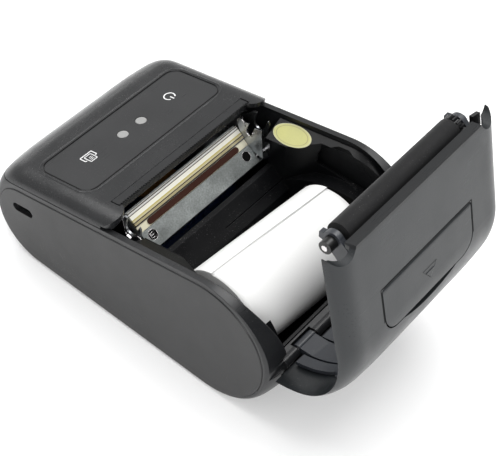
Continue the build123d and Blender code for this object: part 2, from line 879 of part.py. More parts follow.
def mech_frame():
    floor = block(cheek_far_x, cheek_near_x + sheet, frame_front_y, -2.4, frame_floor_z, frame_floor_z + sheet)
    frame = floor + cheek(cheek_near_x) + cheek(cheek_far_x)
    a, b = pinion_centre
    plate = block(motor_plate_x, motor_plate_x + sheet, a - 8.0, frame_front_y + 1, frame_floor_z, b + 6.0)
    plate -= rod(motor_plate_x - 1, motor_plate_x + 2, a, b, 2.6)
    seat = head_box(-27, 27, -3.5, 3.0, spring_seat_n - sheet, spring_seat_n)
    foot = head_point(3.0, spring_seat_n - sheet)
    web = block(-27, 27, foot[0] - 0.4, foot[0] + 0.4, frame_floor_z, foot[1] + 0.6)
    return frame + plate + seat + web


def gear(teeth, centre, phase, bore):
    pitch_r = gear_module * teeth / 2
    tip = pitch_r + gear_module
    root = pitch_r - 1.25 * gear_module
    quarter = math.pi / (2 * teeth) - tooth_play / pitch_r / 2
    points = []
    for i in range(teeth):
        middle = math.radians(phase) + 2 * math.pi * i / teeth
        for r, share in ((root, 1.7), (pitch_r, 1.0), (tip, 0.5)):
            points.append((r, middle - quarter * share))
        for r, share in ((tip, 0.5), (pitch_r, 1.0), (root, 1.7)):
            points.append((r, middle + quarter * share))
    outline = [(centre[0] + r * math.cos(a), centre[1] + r * math.sin(a)) for r, a in points]
    wheel = side_prism(outline, gear_far_x, gear_near_x)
    return wheel - rod(gear_far_x - 1, gear_near_x + 1, centre[0], centre[1], bore)


def idler_phase():
    return train_angle + 180 + 180 / idler_teeth


def pinion_phase():
    facing = (train_angle - idler_phase()) % (360 / idler_teeth)
    shift = facing / (360 / idler_teeth)
    return train_angle + 180 + (0.5 + shift) * 360 / pinion_teeth


def motor_pinion():
    return gear(pinion_teeth, pinion_centre, pinion_phase(), axle_r)


def motor_shaft():
    return rod(gear_far_x - 0.4, motor_plate_x + 5, pinion_centre[0], pinion_centre[1], axle_r)


def idler_gear():
    wheel = gear(idler_teeth, idler_centre, idler_phase(), axle_r + run_gap)
    groove = rod(gear_far_x - 1, gear_far_x + 0.7, idler_centre[0], idler_centre[1], 5.4)
    groove -= rod(gear_far_x - 1, gear_far_x + 0.7, idler_centre[0], idler_centre[1], 2.2)
    return wheel - groove


def idler_pin():
    return rod(cheek_far_x + sheet, gear_near_x + 0.2, idler_centre[0], idler_centre[1], axle_r)


def stepper_motor():
    y, z = pinion_centre
    start = motor_plate_x + sheet
    can = rod(start, start + motor_length, y, z, motor_r)
    can = fillet(can.edges().filter_by(GeomType.CIRCLE).sort_by(Axis.X)[-1], 0.8)
    can += rod(motor_plate_x + 0.1, start, y, z, 2.5)
    ear = block(start, start + 0.8, y - 8.0, y + 8.0, z - 2.5, z + 2.5)
    can += ear
    can -= rod(motor_plate_x - 1, motor_plate_x + 5.2, y, z, axle_r + run_gap)
    return can


def head_cable():
    top = head_point(sink_start + 1.0, -sink_back - 0.45)
    plug = board_plane().from_local_coords((0, board_back - 0.3, 1.1))
    path = FilletPolyline(
        top, (top[0] - 3.0, top[1] - 3.8), (plug.Y + 6.0, plug.Z + 0.6), (plug.Y, plug.Z), radius=1.5)
    ribbon = trace(path, 0.3)
    return side_extrude(ribbon, -3.0, 15.0)


# Lid

lid_inner = casing_body(lid_wall)
liner_outer = casing_body(lid_wall + liner_gap)
liner_inner = casing_body(lid_wall + liner_gap + liner_wall)


def lid_prism(outline):
    return extrude(Pos(0, 0, hinge_z) * outline, far, dir=(0, 0, 1))


def plan_outline(grow):
    middle = (flap_top_y + flap_bottom_y) / 2
    depth = flap_bottom_y - flap_top_y + 2 * grow
    shape = Pos(0, middle) * Rectangle(2 * (flap_half + grow), depth)
    shape = fillet(shape.vertices().group_by(Axis.Y)[-1], flap_corner_r)
    return fillet(shape.vertices().group_by(Axis.Y)[0], 1.0)


def grip_outline(grow):
    arc_start = (-(grip_half + grow), flap_bottom_y - 3.0)
    arc_end = (grip_half + grow, flap_bottom_y - 3.0)
    left = (-(grip_half + grow), flap_bottom_y)
    right = (grip_half + grow, flap_bottom_y)
    bulge = (0, flap_bottom_y + grip_bulge + grow)
    edges = [Line(arc_start, left), ThreePointArc(left, bulge, right), Line(right, arc_end), Line(arc_end, arc_start)]
    return Face(Wire(edges))


def dish_mouth(grow):
    middle = flap_bottom_y - dish_reach / 2
    return Pos(0, middle) * Rectangle(2 * (grip_half + grow), dish_reach + 2 * grow)


def flap_axis():
    nose = flap_top_y + lid_wall / 2
    depth = lid_wall / 2
    plane = top_plane(0, nose)
    p = plane.from_local_coords((0, 0, -depth))
    return (p.Y, p.Z)


def lid_zone(front_y):
    top = line_z(front_y, crown_line())
    points = [
        (front_y - lid_front_lean, top + 4), (front_y, top), (front_y + lid_front_lean, top - lid_front_drop),
        (front_y + 2 * lid_front_lean, 0), (far, 0), (far, far), (front_y - lid_front_lean, far)]
    return side_prism(points, -far, far) - block(-far, far, 50, far, -far, lid_end_z)


def cover_shell():
    shell = (outer_body - lid_inner) & lid_zone(lid_front_y)
    lip = side_prism([
        (lid_front_y, line_z(lid_front_y, crown_line()) - 0.5),
        (lid_front_y + lid_front_lean, line_z(lid_front_y, crown_line()) - lid_front_drop),
        (lid_front_y + 2.6, line_z(lid_front_y, crown_line()) - lid_front_drop + 0.5),
        (lid_front_y + 3.4, line_z(lid_front_y, crown_line()) - 0.5)], -33.0, 33.0)
    shell += lip & casing_body(0.4)
    shell -= rim_region(rim_offset + seam_gap, rim_step_z)
    shell -= hood_ear(hood_ear_gap)
    shell -= lid_prism(plan_outline(flap_gap))
    shell -= lid_prism(grip_outline(0))
    y, z = flap_axis()
    shell -= both(rod(flap_half - 2, flap_half + flap_pin_length / 2 + 0.2, y, z, flap_pin_r + 0.03))
    for x, yy in lid_screw_spots():
        plane = top_plane(x, yy)
        depth = lid_wall + liner_gap - 0.05
        shell += tall(plane, 2.0, -depth, -lid_wall + 0.3)
        shell -= tall(plane, 0.65, -depth - 1, -0.7)
    return shell


def lid_screw_spots():
    x = flap_half + 3.1
    return [(-x, 4.0), (-x, 24.0), (x, 4.0), (x, 24.0)]


def arm(x0, x1):
    root_y = liner_front_y + 6.5
    top = line_z(liner_front_y, crown_line()) - lid_wall - liner_gap - 0.6
    points = [
        (platen_y - arm_boss_r * 0.92, platen_z + 1.2), (platen_y + 0.6, top - 1.6), (liner_front_y + 0.5, top),
        (root_y, top + 1.2), (root_y, top - 0.6), (platen_y + arm_boss_r * 0.95, platen_z - 0.9)]
    shape = side_prism(points, x0, x1) + rod(x0, x1, platen_y, platen_z, arm_boss_r)
    tongue = [
        (platen_y - 1.9, platen_z), (platen_y + 2.2, platen_z),
        (platen_y + 1.0, platen_z - 4.6), (platen_y - 1.2, platen_z - 4.6)]
    shape += side_prism(tongue, x0, x1)
    return shape - rod(x0 - 1, x1 + 1, platen_y, platen_z, bush_r + run_gap)


def cover_inner():
    zone = block(-liner_half, liner_half, liner_front_y, far, liner_end_z, far)
    liner = (liner_outer - liner_inner) & zone
    for x in (lid_arm_start - 0.9, lid_arm_end + 0.1):
        liner -= both(block(x, x + 0.8, 52, far, 0, 44))
    tail = make_face(Polyline(
        (liner_tail_half, 0), (liner_tail_half, liner_tail_z), (liner_half + 0.5, liner_tail_z + 4.5),
        (far, liner_tail_z + 4.5), (far, 0), close=True))
    plane = Plane(origin=(0, liner_tail_y, 0), x_dir=(1, 0, 0), z_dir=(0, -1, 0))
    liner -= both(extrude(plane * tail, far, dir=(0, 1, 0)))
    relief = block(-flap_half - 1.2, flap_half + 1.2, flap_top_y - 1.0, flap_top_y + 3.4, 0, far)
    liner -= relief
    dish_zone = lid_prism(grip_outline(dish_wall)) + lid_prism(dish_mouth(dish_wall))
    hollow_zone = lid_prism(grip_outline(0)) + lid_prism(dish_mouth(0))
    deep = casing_body(lid_wall + dish_depth + dish_wall)
    floor_level = casing_body(lid_wall + dish_depth)
    liner += (liner_outer - deep) & dish_zone
    liner -= hollow_zone - floor_level
    knuckle = rod(lid_arm_start, lid_arm_end, hinge_y, hinge_z, knuckle_r)
    strap = block(lid_arm_start, lid_arm_end, hinge_y - 1.6, hinge_y + 0.4, hinge_z, hinge_z + 8) & liner_outer
    liner += both(knuckle + strap)
    liner -= both(rod(lid_arm_start - 1, lid_arm_end + 1, hinge_y, hinge_z, hinge_pin_r + hinge_bore_gap))
    liner += arm(*arm_near) + arm(*arm_far)
    for x, yy in lid_screw_spots():
        liner -= tall(top_plane(x, yy), 0.8, -8, 0)
    return liner


def cover_screws():
    group = None
    for x, y in lid_screw_spots():
        head = top_plane(x, y) * Pos(0, 0, -lid_wall - liner_gap - liner_wall) * Rot(180, 0, 0)
        item = head * Pos(0, 0, 0.5) * Cylinder(1.7, 1.0)
        item += head * Pos(0, 0, -1.2) * Cylinder(0.6, 2.4)
        group = item if group is None else group + item
    return opened(group)


def platen_bushes():
    near = rod(bush_near_start, bush_outer, platen_y, platen_z, bush_r)
    distant = rod(-bush_outer, -bush_far_start, platen_y, platen_z, bush_r)
    pair = near + distant
    return pair - rod(-40, 40, platen_y, platen_z, shaft_r + run_gap)


def platen_rubber():
    sleeve = rod(-rubber_half, rubber_half, platen_y, platen_z, rubber_r)
    return sleeve - rod(-40, 40, platen_y, platen_z, shaft_r + 0.02)


def platen_shaft():
    return rod(-shaft_half, shaft_half, platen_y, platen_z, shaft_r)


def platen_gear():
    return gear(platen_teeth, (platen_y, platen_z), train_angle, shaft_r + 0.02)


def open_lever():
    flap = (outer_body - lid_inner) & lid_prism(plan_outline(0))
    y, z = flap_axis()
    trim = block(-far, far, flap_top_y - 1, y, 0, far)
    flap = flap - trim + rod(-flap_half, flap_half, y, z, lid_wall / 2 - 0.02)
    plane = top_plane(0, 23.5)
    arrow = make_face(Polyline((-2.2, -0.6), (2.2, -0.6), (0, 2.0), close=True))
    flap += extrude(plane * Pos(0, 0, -0.2) * arrow, 0.4, dir=plane.z_dir)
    return flap - both(rod(flap_half - 1.7, flap_half + 1, y, z, flap_pin_r + run_gap))


def lever_pins():
    y, z = flap_axis()
    middle = flap_half + flap_gap / 2
    half = flap_pin_length / 2
    return both(rod(middle - half, middle + half, y, z, flap_pin_r))


def hinge_pins():
    return both(rod(pin_start, pin_end, hinge_y, hinge_z, hinge_pin_r))


parts = {
    "lower_case": lower_case(),
    "top_shell": top_shell(),
    "tear_bar": tear_bar(),
    "side_plate_right": side_plate(1),
    "side_plate_left": side_plate(-1),
    "panel_overlay": panel_overlay(),
    "lamp_power": lamp(-lamp_x),
    "lamp_status": lamp(lamp_x),
    "power_key": key(-key_x),
    "feed_key": key(key_x),
    "key_board": key_board(),
    "key_board_screws": key_board_screws(),
    "tact_switches": tact_switches(),
    "main_board": main_board(),
    "board_parts": board_parts(),
    "board_screws": board_screws(),
    "usb_port": usb_port(),
    "battery_pack": battery_pack(),
    "battery_door": battery_door(),
    "case_screws": case_screws(),
    "paper_tub": paper_tub(),
    "tub_screws": tub_screws(),
    "inspection_sticker": inspection_sticker(),
    "paper_roll": paper_roll(),
    "paper_core": paper_core(),
    "mech_frame": mech_frame(),
    "heat_sink": heat_sink(),
    "thermal_head": thermal_head(),
    "head_circuit": head_circuit(),
    "driver_potting": driver_potting(),
    "head_pivot": head_pivot(),
    "head_springs": head_springs(),
    "head_cable": head_cable(),
    "stepper_motor": stepper_motor(),
    "motor_shaft": motor_shaft(),
    "motor_pinion": motor_pinion(),
    "idler_gear": idler_gear(),
    "idler_pin": idler_pin(),
    "hinge_pins": hinge_pins(),
    "cover_shell": opened(cover_shell()),
    "cover_inner": opened(cover_inner()),
    "cover_screws": cover_screws(),
    "platen_bushes": opened(platen_bushes()),
    "platen_rubber": opened(platen_rubber()),
    "platen_shaft": opened(platen_shaft()),
    "platen_gear": opened(platen_gear()),
    "open_lever": opened(open_lever()),
    "lever_pins": opened(lever_pins()),
}

os.makedirs("parts", exist_ok=True)
for name, shape in parts.items():
    export_step(shape, f"parts/{name}.step")

flap = opened(Pos(0, *flap_axis()) * Sphere(0.1)).center()
platen = opened(Pos(0, platen_y, platen_z) * Sphere(0.1)).center()
print("flap axis", flap.Y, flap.Z)
print("platen axis", platen.Y, platen.Z)
print("head pivot", head_point(head_pivot_u, head_pivot_n))
print("idler", idler_centre, "pinion", pinion_centre)
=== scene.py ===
import bpy
import math
from mathutils import Vector, Matrix


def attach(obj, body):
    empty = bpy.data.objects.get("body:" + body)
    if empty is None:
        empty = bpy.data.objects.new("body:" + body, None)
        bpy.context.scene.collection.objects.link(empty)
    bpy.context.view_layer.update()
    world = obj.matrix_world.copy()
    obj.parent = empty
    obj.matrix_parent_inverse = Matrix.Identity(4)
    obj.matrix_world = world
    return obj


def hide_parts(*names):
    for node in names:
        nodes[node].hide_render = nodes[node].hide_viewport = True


# %% [markdown]
# # A portable receipt printer, lid open
# The solid model comes in as a fixed frame: every shell, gear and screw is already there.
# It could be modelled again in Blender, but then the two would drift apart, so this lesson
# only gives the pieces their finish, adds the few soft, thin or printed things that solid
# modelling leaves out, and sets light and camera.

# %% Load the frame
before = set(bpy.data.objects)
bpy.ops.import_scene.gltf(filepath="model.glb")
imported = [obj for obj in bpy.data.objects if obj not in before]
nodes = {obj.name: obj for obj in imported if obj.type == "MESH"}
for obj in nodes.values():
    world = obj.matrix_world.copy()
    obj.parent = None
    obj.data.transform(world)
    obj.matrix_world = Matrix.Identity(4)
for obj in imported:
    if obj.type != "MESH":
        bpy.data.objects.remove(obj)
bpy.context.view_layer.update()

# %% [markdown]
# ## Places on the printer
# Blender counts in metres and the printer's sizes are in millimetres, so `mm` turns one into
# the other. The top rises 12 degrees towards the hinge. Typing in the height of each sign
# would work once; `top_frame` works it out, and gives the directions that run along the slope.

# %% Places and directions
MM = 0.001
SLOPE = math.radians(12.0)
NOSE_Y = -60.0
CROWN_AT_NOSE = 30.9 + 7.3 / math.cos(SLOPE)
KEY_ROW_Y = -36.7


def mm(*values):
    return Vector([v * MM for v in values])


def crown(y):
    return CROWN_AT_NOSE + math.tan(SLOPE) * (y - NOSE_Y)


def top_frame(x, y, lift):
    across = Vector((1, 0, 0))
    along = Vector((0, math.cos(SLOPE), math.sin(SLOPE)))
    up = Vector((0, -math.sin(SLOPE), math.cos(SLOPE)))
    return mm(x, y, crown(y)) + up * lift * MM, across, along, up


print("crown height over the keys: %.2f mm" % crown(KEY_ROW_Y))

# %% [markdown]
# ## A builder for pieces
# A piece is a mesh with a material, and it rides on one body of the printer so that it moves
# with that body's joint. Parenting by hand would do the same, but one builder makes sure that
# no piece is forgotten.

# %% Make a piece


def make_mesh(name, points, faces, body, slot, material, smooth=False, place=None):
    data = bpy.data.meshes.new(name)
    data.from_pydata([tuple(p) for p in points], [], faces)
    data.validate()
    data.update()
    obj = bpy.data.objects.new(name, data)
    bpy.context.scene.collection.objects.link(obj)
    if place is not None:
        obj.matrix_world = place
    data.materials.append(material)
    for poly in data.polygons:
        poly.use_smooth = smooth
    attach(obj, body)
    return obj


def join_parts(parts):
    points, faces = [], []
    for more_points, more_faces in parts:
        shift = len(points)
        points += more_points
        faces += [tuple(i + shift for i in face) for face in more_faces]
    return points, faces


print("piece builder ready")

# %% [markdown]
# ## Flat lines
# Printed signs and fine seams are flat lines. An image would be simpler, but it blurs when the
# camera comes close. `ribbon` lays a strip of even width along a path on a plane, with a
# thickness of a few hundredths of a millimetre.

# %% Ribbon
INK_THICK = 0.03


def ribbon(path, width, place, thickness=INK_THICK, closed=False):
    origin, across, along, up = place
    n = len(path)
    points, faces = [], []
    for i in range(n):
        a = path[i - 1] if (i > 0 or closed) else path[i]
        b = path[(i + 1) % n] if (i < n - 1 or closed) else path[i]
        d = Vector((b[0] - a[0], b[1] - a[1])).normalized()
        side = Vector((-d.y, d.x)) * width / 2
        for p in (Vector(path[i]) - side, Vector(path[i]) + side):
            for h in (0, thickness):
                points.append(origin + (across * p.x + along * p.y + up * h) * MM)
    for i in range(n if closed else n - 1):
        a, b = 4 * i, 4 * ((i + 1) % n)
        faces += [(a + 1, b + 1, b + 3, a + 3), (a, a + 2, b + 2, b),
                  (a, b, b + 1, a + 1), (a + 2, a + 3, b + 3, b + 2)]
    if not closed:
        e = 4 * (n - 1)
        faces += [(0, 1, 3, 2), (e, e + 2, e + 3, e + 1)]
    return points, faces


print("ribbon ready")

# %% [markdown]
# ## Round wire
# Springy hooks and beads have a round section. A curve object with a bevel would give the
# same, but needs a step back to a mesh; `tube` makes the mesh at once, and `rounded_path`
# rounds the corners of its path as a bending tool does.

# %% Tube and rounded path


def tube(path, radius, sides=12):
    path = [Vector(p) for p in path]
    points, faces = [], []
    normal = None
    for i, p in enumerate(path):
        t = (path[min(i + 1, len(path) - 1)] - path[max(i - 1, 0)]).normalized()
        if normal is None:
            normal = t.orthogonal().normalized()
        normal = (normal - t * normal.dot(t)).normalized()
        other = t.cross(normal)
        for k in range(sides):
            w = 2 * math.pi * k / sides
            points.append((p + (normal * math.cos(w) + other * math.sin(w)) * radius) * MM)
    for i in range(len(path) - 1):
        for k in range(sides):
            a, b = i * sides + k, i * sides + (k + 1) % sides
            faces.append((a, b, b + sides, a + sides))
    end = (len(path) - 1) * sides
    faces += [tuple(range(sides))[::-1], tuple(range(end, end + sides))]
    return points, faces


def rounded_path(corners, r, steps=6):
    corners = [Vector(c) for c in corners]
    out = [corners[0]]
    for a, c, b in zip(corners, corners[1:], corners[2:]):
        da, db = (a - c), (b - c)
        cut = min(r, da.length * 0.45, db.length * 0.45)
        start, end = c + da.normalized() * cut, c + db.normalized() * cut
        for k in range(steps + 1):
            t = k / steps
            out.append(start.lerp(c, t).lerp(c.lerp(end, t), t))
    return out + [corners[-1]]


print("tube ready")

# %% [markdown]
# ## Shared shader effects
# Real plastic, steel and paper have effects in common: fine grain, soft smudges, thin
# scratches, worn edges and dust. Copying the nodes into every material would be hard to
# mend, so they live in four node groups; smudges and scratches share one. A group gives out
# values only, and each material decides what to do with them. The first helpers make a
# group, place a node and calculate.

# %% Node helpers


def new_group(name, inputs, outputs):
    g = bpy.data.node_groups.new(name, "ShaderNodeTree")
    for label, value in inputs:
        s = g.interface.new_socket(label, in_out="INPUT", socket_type="NodeSocketFloat")
        s.default_value = value
    for label in outputs:
        g.interface.new_socket(label, in_out="OUTPUT", socket_type="NodeSocketFloat")
    gin = g.nodes.new("NodeGroupInput")
    gout = g.nodes.new("NodeGroupOutput")
    gin.location, gout.location = (-900, 0), (600, 0)
    return g, gin, gout


def node(tree, kind, x=0, y=0, **settings):
    n = tree.nodes.new(kind)
    n.location = (x, y)
    for key, value in settings.items():
        setattr(n, key, value)
    return n


def math_node(tree, operation, a, b=None, x=0, y=0, clamp=False, c=None):
    n = node(tree, "ShaderNodeMath", x, y, operation=operation, use_clamp=clamp)
    for socket, v in zip(n.inputs, (a, b, c)):
        if isinstance(v, (int, float)):
            socket.default_value = v
        elif v is not None:
            tree.links.new(v, socket)
    return n.outputs[0]


print("node helpers ready")

# %% [markdown]
# ## Ranges and noise
# Every mask here is a noise of which only one range counts: smudges are the upper half of a
# soft noise, specks the peaks of a fine one. A colour ramp could cut out the range, but a map
# range takes plain numbers, which are easier to read and to change.

# %% Ramp and noise


def ramp(tree, value, low, high, to_low=0.0, to_high=1.0, x=0, y=0):
    n = node(tree, "ShaderNodeMapRange", x, y, clamp=True)
    tree.links.new(value, n.inputs["Value"])
    for key, v in (("From Min", low), ("From Max", high), ("To Min", to_low), ("To Max", to_high)):
        n.inputs[key].default_value = v
    return n.outputs["Result"]


def noise(tree, vector, scale, detail=3.0, rough=0.55, x=0, y=0):
    n = node(tree, "ShaderNodeTexNoise", x, y)
    tree.links.new(vector, n.inputs["Vector"])
    n.inputs["Detail"].default_value = detail
    n.inputs["Roughness"].default_value = rough
    if isinstance(scale, (int, float)):
        n.inputs["Scale"].default_value = scale
    else:
        tree.links.new(scale, n.inputs["Scale"])
    return n.outputs["Fac"]


print("ramp and noise ready")

# %% [markdown]
# ## Grain
# The mould of a plastic shell is spark-eroded, which leaves a fine, even grain. Real bumps
# would need millions of faces; a noise and soft cells mixed together give the same shading.
# The size is asked for in millimetres, so the scale of the texture is one over that size.

# %% Grain
MM_PER_METRE = 1000.0
grain, gin, gout = new_group("Grain", [("Size mm", 0.3)], ["Height", "Speckle"])
coords = node(grain, "ShaderNodeTexCoord", -900, 250)
scale = math_node(grain, "DIVIDE", MM_PER_METRE, gin.outputs["Size mm"], -700, 0)
fine = noise(grain, coords.outputs["Object"], scale, 2.0, 0.5, -450, 200)
cells = node(grain, "ShaderNodeTexVoronoi", -450, -100, feature="SMOOTH_F1")
grain.links.new(coords.outputs["Object"], cells.inputs["Vector"])
grain.links.new(scale, cells.inputs["Scale"])
soft_cells = math_node(grain, "MULTIPLY", cells.outputs["Distance"], 0.6, -200, -100)
mixed = math_node(grain, "ADD", fine, soft_cells, 0, 100)
grain.links.new(mixed, gout.inputs["Height"])
grain.links.new(ramp(grain, fine, 0.35, 0.7, x=0, y=-150), gout.inputs["Speckle"])
print("group:", grain.name)

# %% [markdown]
# ## Smudges and scratches
# Hands leave broad smudges, and pockets leave fine scratches that mostly run one way. They
# could be painted by hand; a broad noise and two noises stretched along different directions
# cover every piece without a seam. One more noise gathers the scratches into patches.

# %% Smudges and scratches
STRETCH = 34.0
handled, gin, gout = new_group(
    "Handled", [("Smudge mm", 14.0), ("Scratch mm", 9.0)], ["Smudge", "Scratch"])
coords = node(handled, "ShaderNodeTexCoord", -1200, 250)
smudge_scale = math_node(handled, "DIVIDE", MM_PER_METRE, gin.outputs["Smudge mm"], -700, 300)
broad = noise(handled, coords.outputs["Object"], smudge_scale, 4.0, 0.6, -450, 300)
handled.links.new(ramp(handled, broad, 0.38, 0.68, x=0, y=300), gout.inputs["Smudge"])
streaks = []
for i, turn in enumerate(((0.2, 0.1, 0.5), (0.9, 0.4, 2.0))):
    low = -300 * i
    mapping = node(handled, "ShaderNodeMapping", -950, low)
    mapping.inputs["Rotation"].default_value = turn
    mapping.inputs["Scale"].default_value = (1.0, STRETCH, STRETCH)
    handled.links.new(coords.outputs["Object"], mapping.inputs["Vector"])
    scale = math_node(handled, "DIVIDE", MM_PER_METRE, gin.outputs["Scratch mm"], -700, low)
    streak = noise(handled, mapping.outputs["Vector"], scale, 1.0, 0.4, -450, low)
    streaks.append(ramp(handled, streak, 0.69, 0.73, x=-150, y=low))
lines = math_node(handled, "MAXIMUM", *streaks, 50, -200)
patchy = noise(handled, coords.outputs["Object"], 60.0, 2.0, x=-450, y=-750)
gate = ramp(handled, patchy, 0.5, 0.62, x=-150, y=-750)
handled.links.new(math_node(handled, "MULTIPLY", lines, gate, 300, -300), gout.inputs["Scratch"])
print("group:", handled.name)

# %% [markdown]
# ## Worn edges
# Edges are where a matt skin gets polished first. Vertex paint could mark them, but the
# frame's meshes mustn't change. The bevel node rounds the shading normal instead: where it
# differs from the true normal there is an edge.

# %% Worn edges
edges, gin, gout = new_group("Edges", [("Radius mm", 0.35)], ["Edge"])
bevel = node(edges, "ShaderNodeBevel", -450, 0, samples=4)
radius = math_node(edges, "MULTIPLY", gin.outputs["Radius mm"], MM, -700, 0)
edges.links.new(radius, bevel.inputs["Radius"])
geometry = node(edges, "ShaderNodeNewGeometry", -450, -250)
dot = node(edges, "ShaderNodeVectorMath", -200, 0, operation="DOT_PRODUCT")
edges.links.new(bevel.outputs["Normal"], dot.inputs[0])
edges.links.new(geometry.outputs["Normal"], dot.inputs[1])
edges.links.new(ramp(edges, dot.outputs["Value"], 0.985, 0.80, x=100), gout.inputs["Edge"])
print("group:", edges.name)

# %% [markdown]
# ## Dust
# Dust settles on faces that look up, in uneven patches of small specks. Particles would be
# too many to keep, so specks, patches and the upward direction are multiplied to a mask.

# %% Dust
dust, gin, gout = new_group("Dust", [("Amount", 1.0)], ["Dust"])
coords = node(dust, "ShaderNodeTexCoord", -900, 250)
geometry = node(dust, "ShaderNodeNewGeometry", -900, -200)
split = node(dust, "ShaderNodeSeparateXYZ", -650, -200)
dust.links.new(geometry.outputs["Normal"], split.inputs[0])
facing = ramp(dust, split.outputs["Z"], 0.15, 0.9, x=-400, y=-200)
speck_noise = noise(dust, coords.outputs["Object"], 2600.0, 2.0, x=-650, y=250)
specks = ramp(dust, speck_noise, 0.64, 0.74, x=-400, y=250)
patch_noise = noise(dust, coords.outputs["Object"], 90.0, 4.0, x=-650, y=0)
patches = ramp(dust, patch_noise, 0.4, 0.7, x=-400, y=0)
strewn = math_node(dust, "MULTIPLY", specks, patches, -150, 150)
settled = math_node(dust, "MULTIPLY", strewn, facing, 50, 50)
laid = math_node(dust, "MULTIPLY", settled, gin.outputs["Amount"], 250, 50)
dust.links.new(laid, gout.inputs["Dust"])
print("group:", dust.name)

# %% [markdown]
# ## A finish from the four effects
# Each finish is one Principled material. Grain goes to the bump, smudges and scratches change
# the roughness, and every effect shifts the colour a little. Some thirty materials built by
# hand would differ by accident, so one function builds them all from a few numbers. The first
# helpers place a group in a material and mix two colours.

# %% Colour helpers
DUST_COLOUR = (0.42, 0.41, 0.40)
EDGE_ROUNDING = 0.0006
BUMP_REACH = 0.0002


def group_node(tree, group, x, y, **values):
    n = node(tree, "ShaderNodeGroup", x, y)
    n.node_tree = group
    for key, v in values.items():
        n.inputs[key.replace("_", " ")].default_value = v
    return n


def mix_colour(tree, factor, a, b, x=0, y=0):
    n = node(tree, "ShaderNodeMix", x, y, data_type="RGBA", blend_type="MIX")
    for socket, v in ((n.inputs[0], factor), (n.inputs[6], a), (n.inputs[7], b)):
        if isinstance(v, (int, float)):
            socket.default_value = v
        elif isinstance(v, tuple):
            socket.default_value = (*v, 1.0)
        else:
            tree.links.new(v, socket)
    return n.outputs[2]


def lighter(colour, factor, lift):
    return tuple(min(1.0, c * factor + lift) for c in colour)


print("colour helpers ready")

# %% [markdown]
# ## From colour to material
# The skin of a used thing is laid in coats: its own colour, then smudges, grain, polished
# edges, scratches and dust. They could be separate shaders mixed together, but one shader
# with a layered colour renders faster and can be exported.

# %% The finish builder
finishes = {}


def base_colour(t, colour, tint, scratch, wear, wear_colour, dusty, edge_mm, g, h):
    smudged = math_node(t, "MULTIPLY", h.outputs["Smudge"], tint, -450, 300)
    base = mix_colour(t, smudged, tuple(colour), lighter(colour, 1.8, 0.004), -200, 300)
    speckled = math_node(t, "MULTIPLY", g.outputs["Speckle"], tint * 0.6, -450, 150)
    base = mix_colour(t, speckled, base, tuple(c * 0.55 for c in colour), -50, 250)
    if wear > 0:
        e = group_node(t, edges, -700, -550, Radius_mm=edge_mm)
        uneven = math_node(t, "MULTIPLY_ADD", h.outputs["Smudge"], 0.6, -450, -550, c=0.4)
        worn = math_node(t, "MULTIPLY", e.outputs["Edge"], uneven, -200, -550)
        amount = math_node(t, "MULTIPLY", worn, wear, 0, -550, clamp=True)
        base = mix_colour(t, amount, base, wear_colour or lighter(colour, 3, 0.02), 150, 250)
    if scratch > 0:
        scored = math_node(t, "MULTIPLY", h.outputs["Scratch"], scratch * 0.5, 0, 450)
        base = mix_colour(t, scored, base, lighter(colour, 2.2, 0.03), 250, 300)
    if dusty > 0:
        d = group_node(t, dust, -700, -800, Amount=dusty)
        base = mix_colour(t, d.outputs["Dust"], base, DUST_COLOUR, 350, 250)
    return base


def surface(name, colour, rough, metal=0.0, grain_mm=0.3, bump=0.1, smudge=0.1, scratch=0.0,
            wear=0.0, wear_colour=None, dusty=0.0, edge_mm=0.3, specular=0.5, coat=0.0,
            coat_rough=0.2, tint=0.12, sheen=0.0):
    m = bpy.data.materials.new(name)
    m.use_nodes = True
    t = m.node_tree
    t.nodes.clear()
    out = node(t, "ShaderNodeOutputMaterial", 900, 0)
    p = node(t, "ShaderNodeBsdfPrincipled", 600, 0)
    t.links.new(p.outputs[0], out.inputs[0])
    g = group_node(t, grain, -700, -300, Size_mm=grain_mm)
    h = group_node(t, handled, -700, 0)
    base = base_colour(t, colour, tint, scratch, wear, wear_colour, dusty, edge_mm, g, h)
    t.links.new(base, p.inputs["Base Color"])
    dull = math_node(t, "MULTIPLY_ADD", h.outputs["Smudge"], smudge, -200, 0, c=rough - smudge / 2)
    polish = math_node(t, "MULTIPLY", h.outputs["Scratch"], scratch * 0.4, -200, -150)
    t.links.new(math_node(t, "SUBTRACT", dull, polish, 0, 0, clamp=True), p.inputs["Roughness"])
    for socket, value in (("Metallic", metal), ("Specular IOR Level", specular),
                          ("Coat Weight", coat), ("Coat Roughness", coat_rough),
                          ("Sheen Weight", sheen)):
        p.inputs[socket].default_value = value
    round_edge = node(t, "ShaderNodeBevel", 0, -350, samples=4)
    round_edge.inputs["Radius"].default_value = edge_mm * EDGE_ROUNDING
    b = node(t, "ShaderNodeBump", 300, -350)
    b.inputs["Strength"].default_value = bump
    b.inputs["Distance"].default_value = grain_mm * BUMP_REACH
    t.links.new(g.outputs["Height"], b.inputs["Height"])
    t.links.new(round_edge.outputs["Normal"], b.inputs["Normal"])
    t.links.new(b.outputs["Normal"], p.inputs["Normal"])
    finishes[name] = m
    return m


print("finish builder ready")

# %% [markdown]
# ## Casing plastics
# The shells are moulded plastic, nearly black with a fine matt grain; the side plates are
# smoother and the key film is satin. One black for all would be quicker and look like a toy.
# The lid is a little bluer than the case, as it comes from another mould and batch.

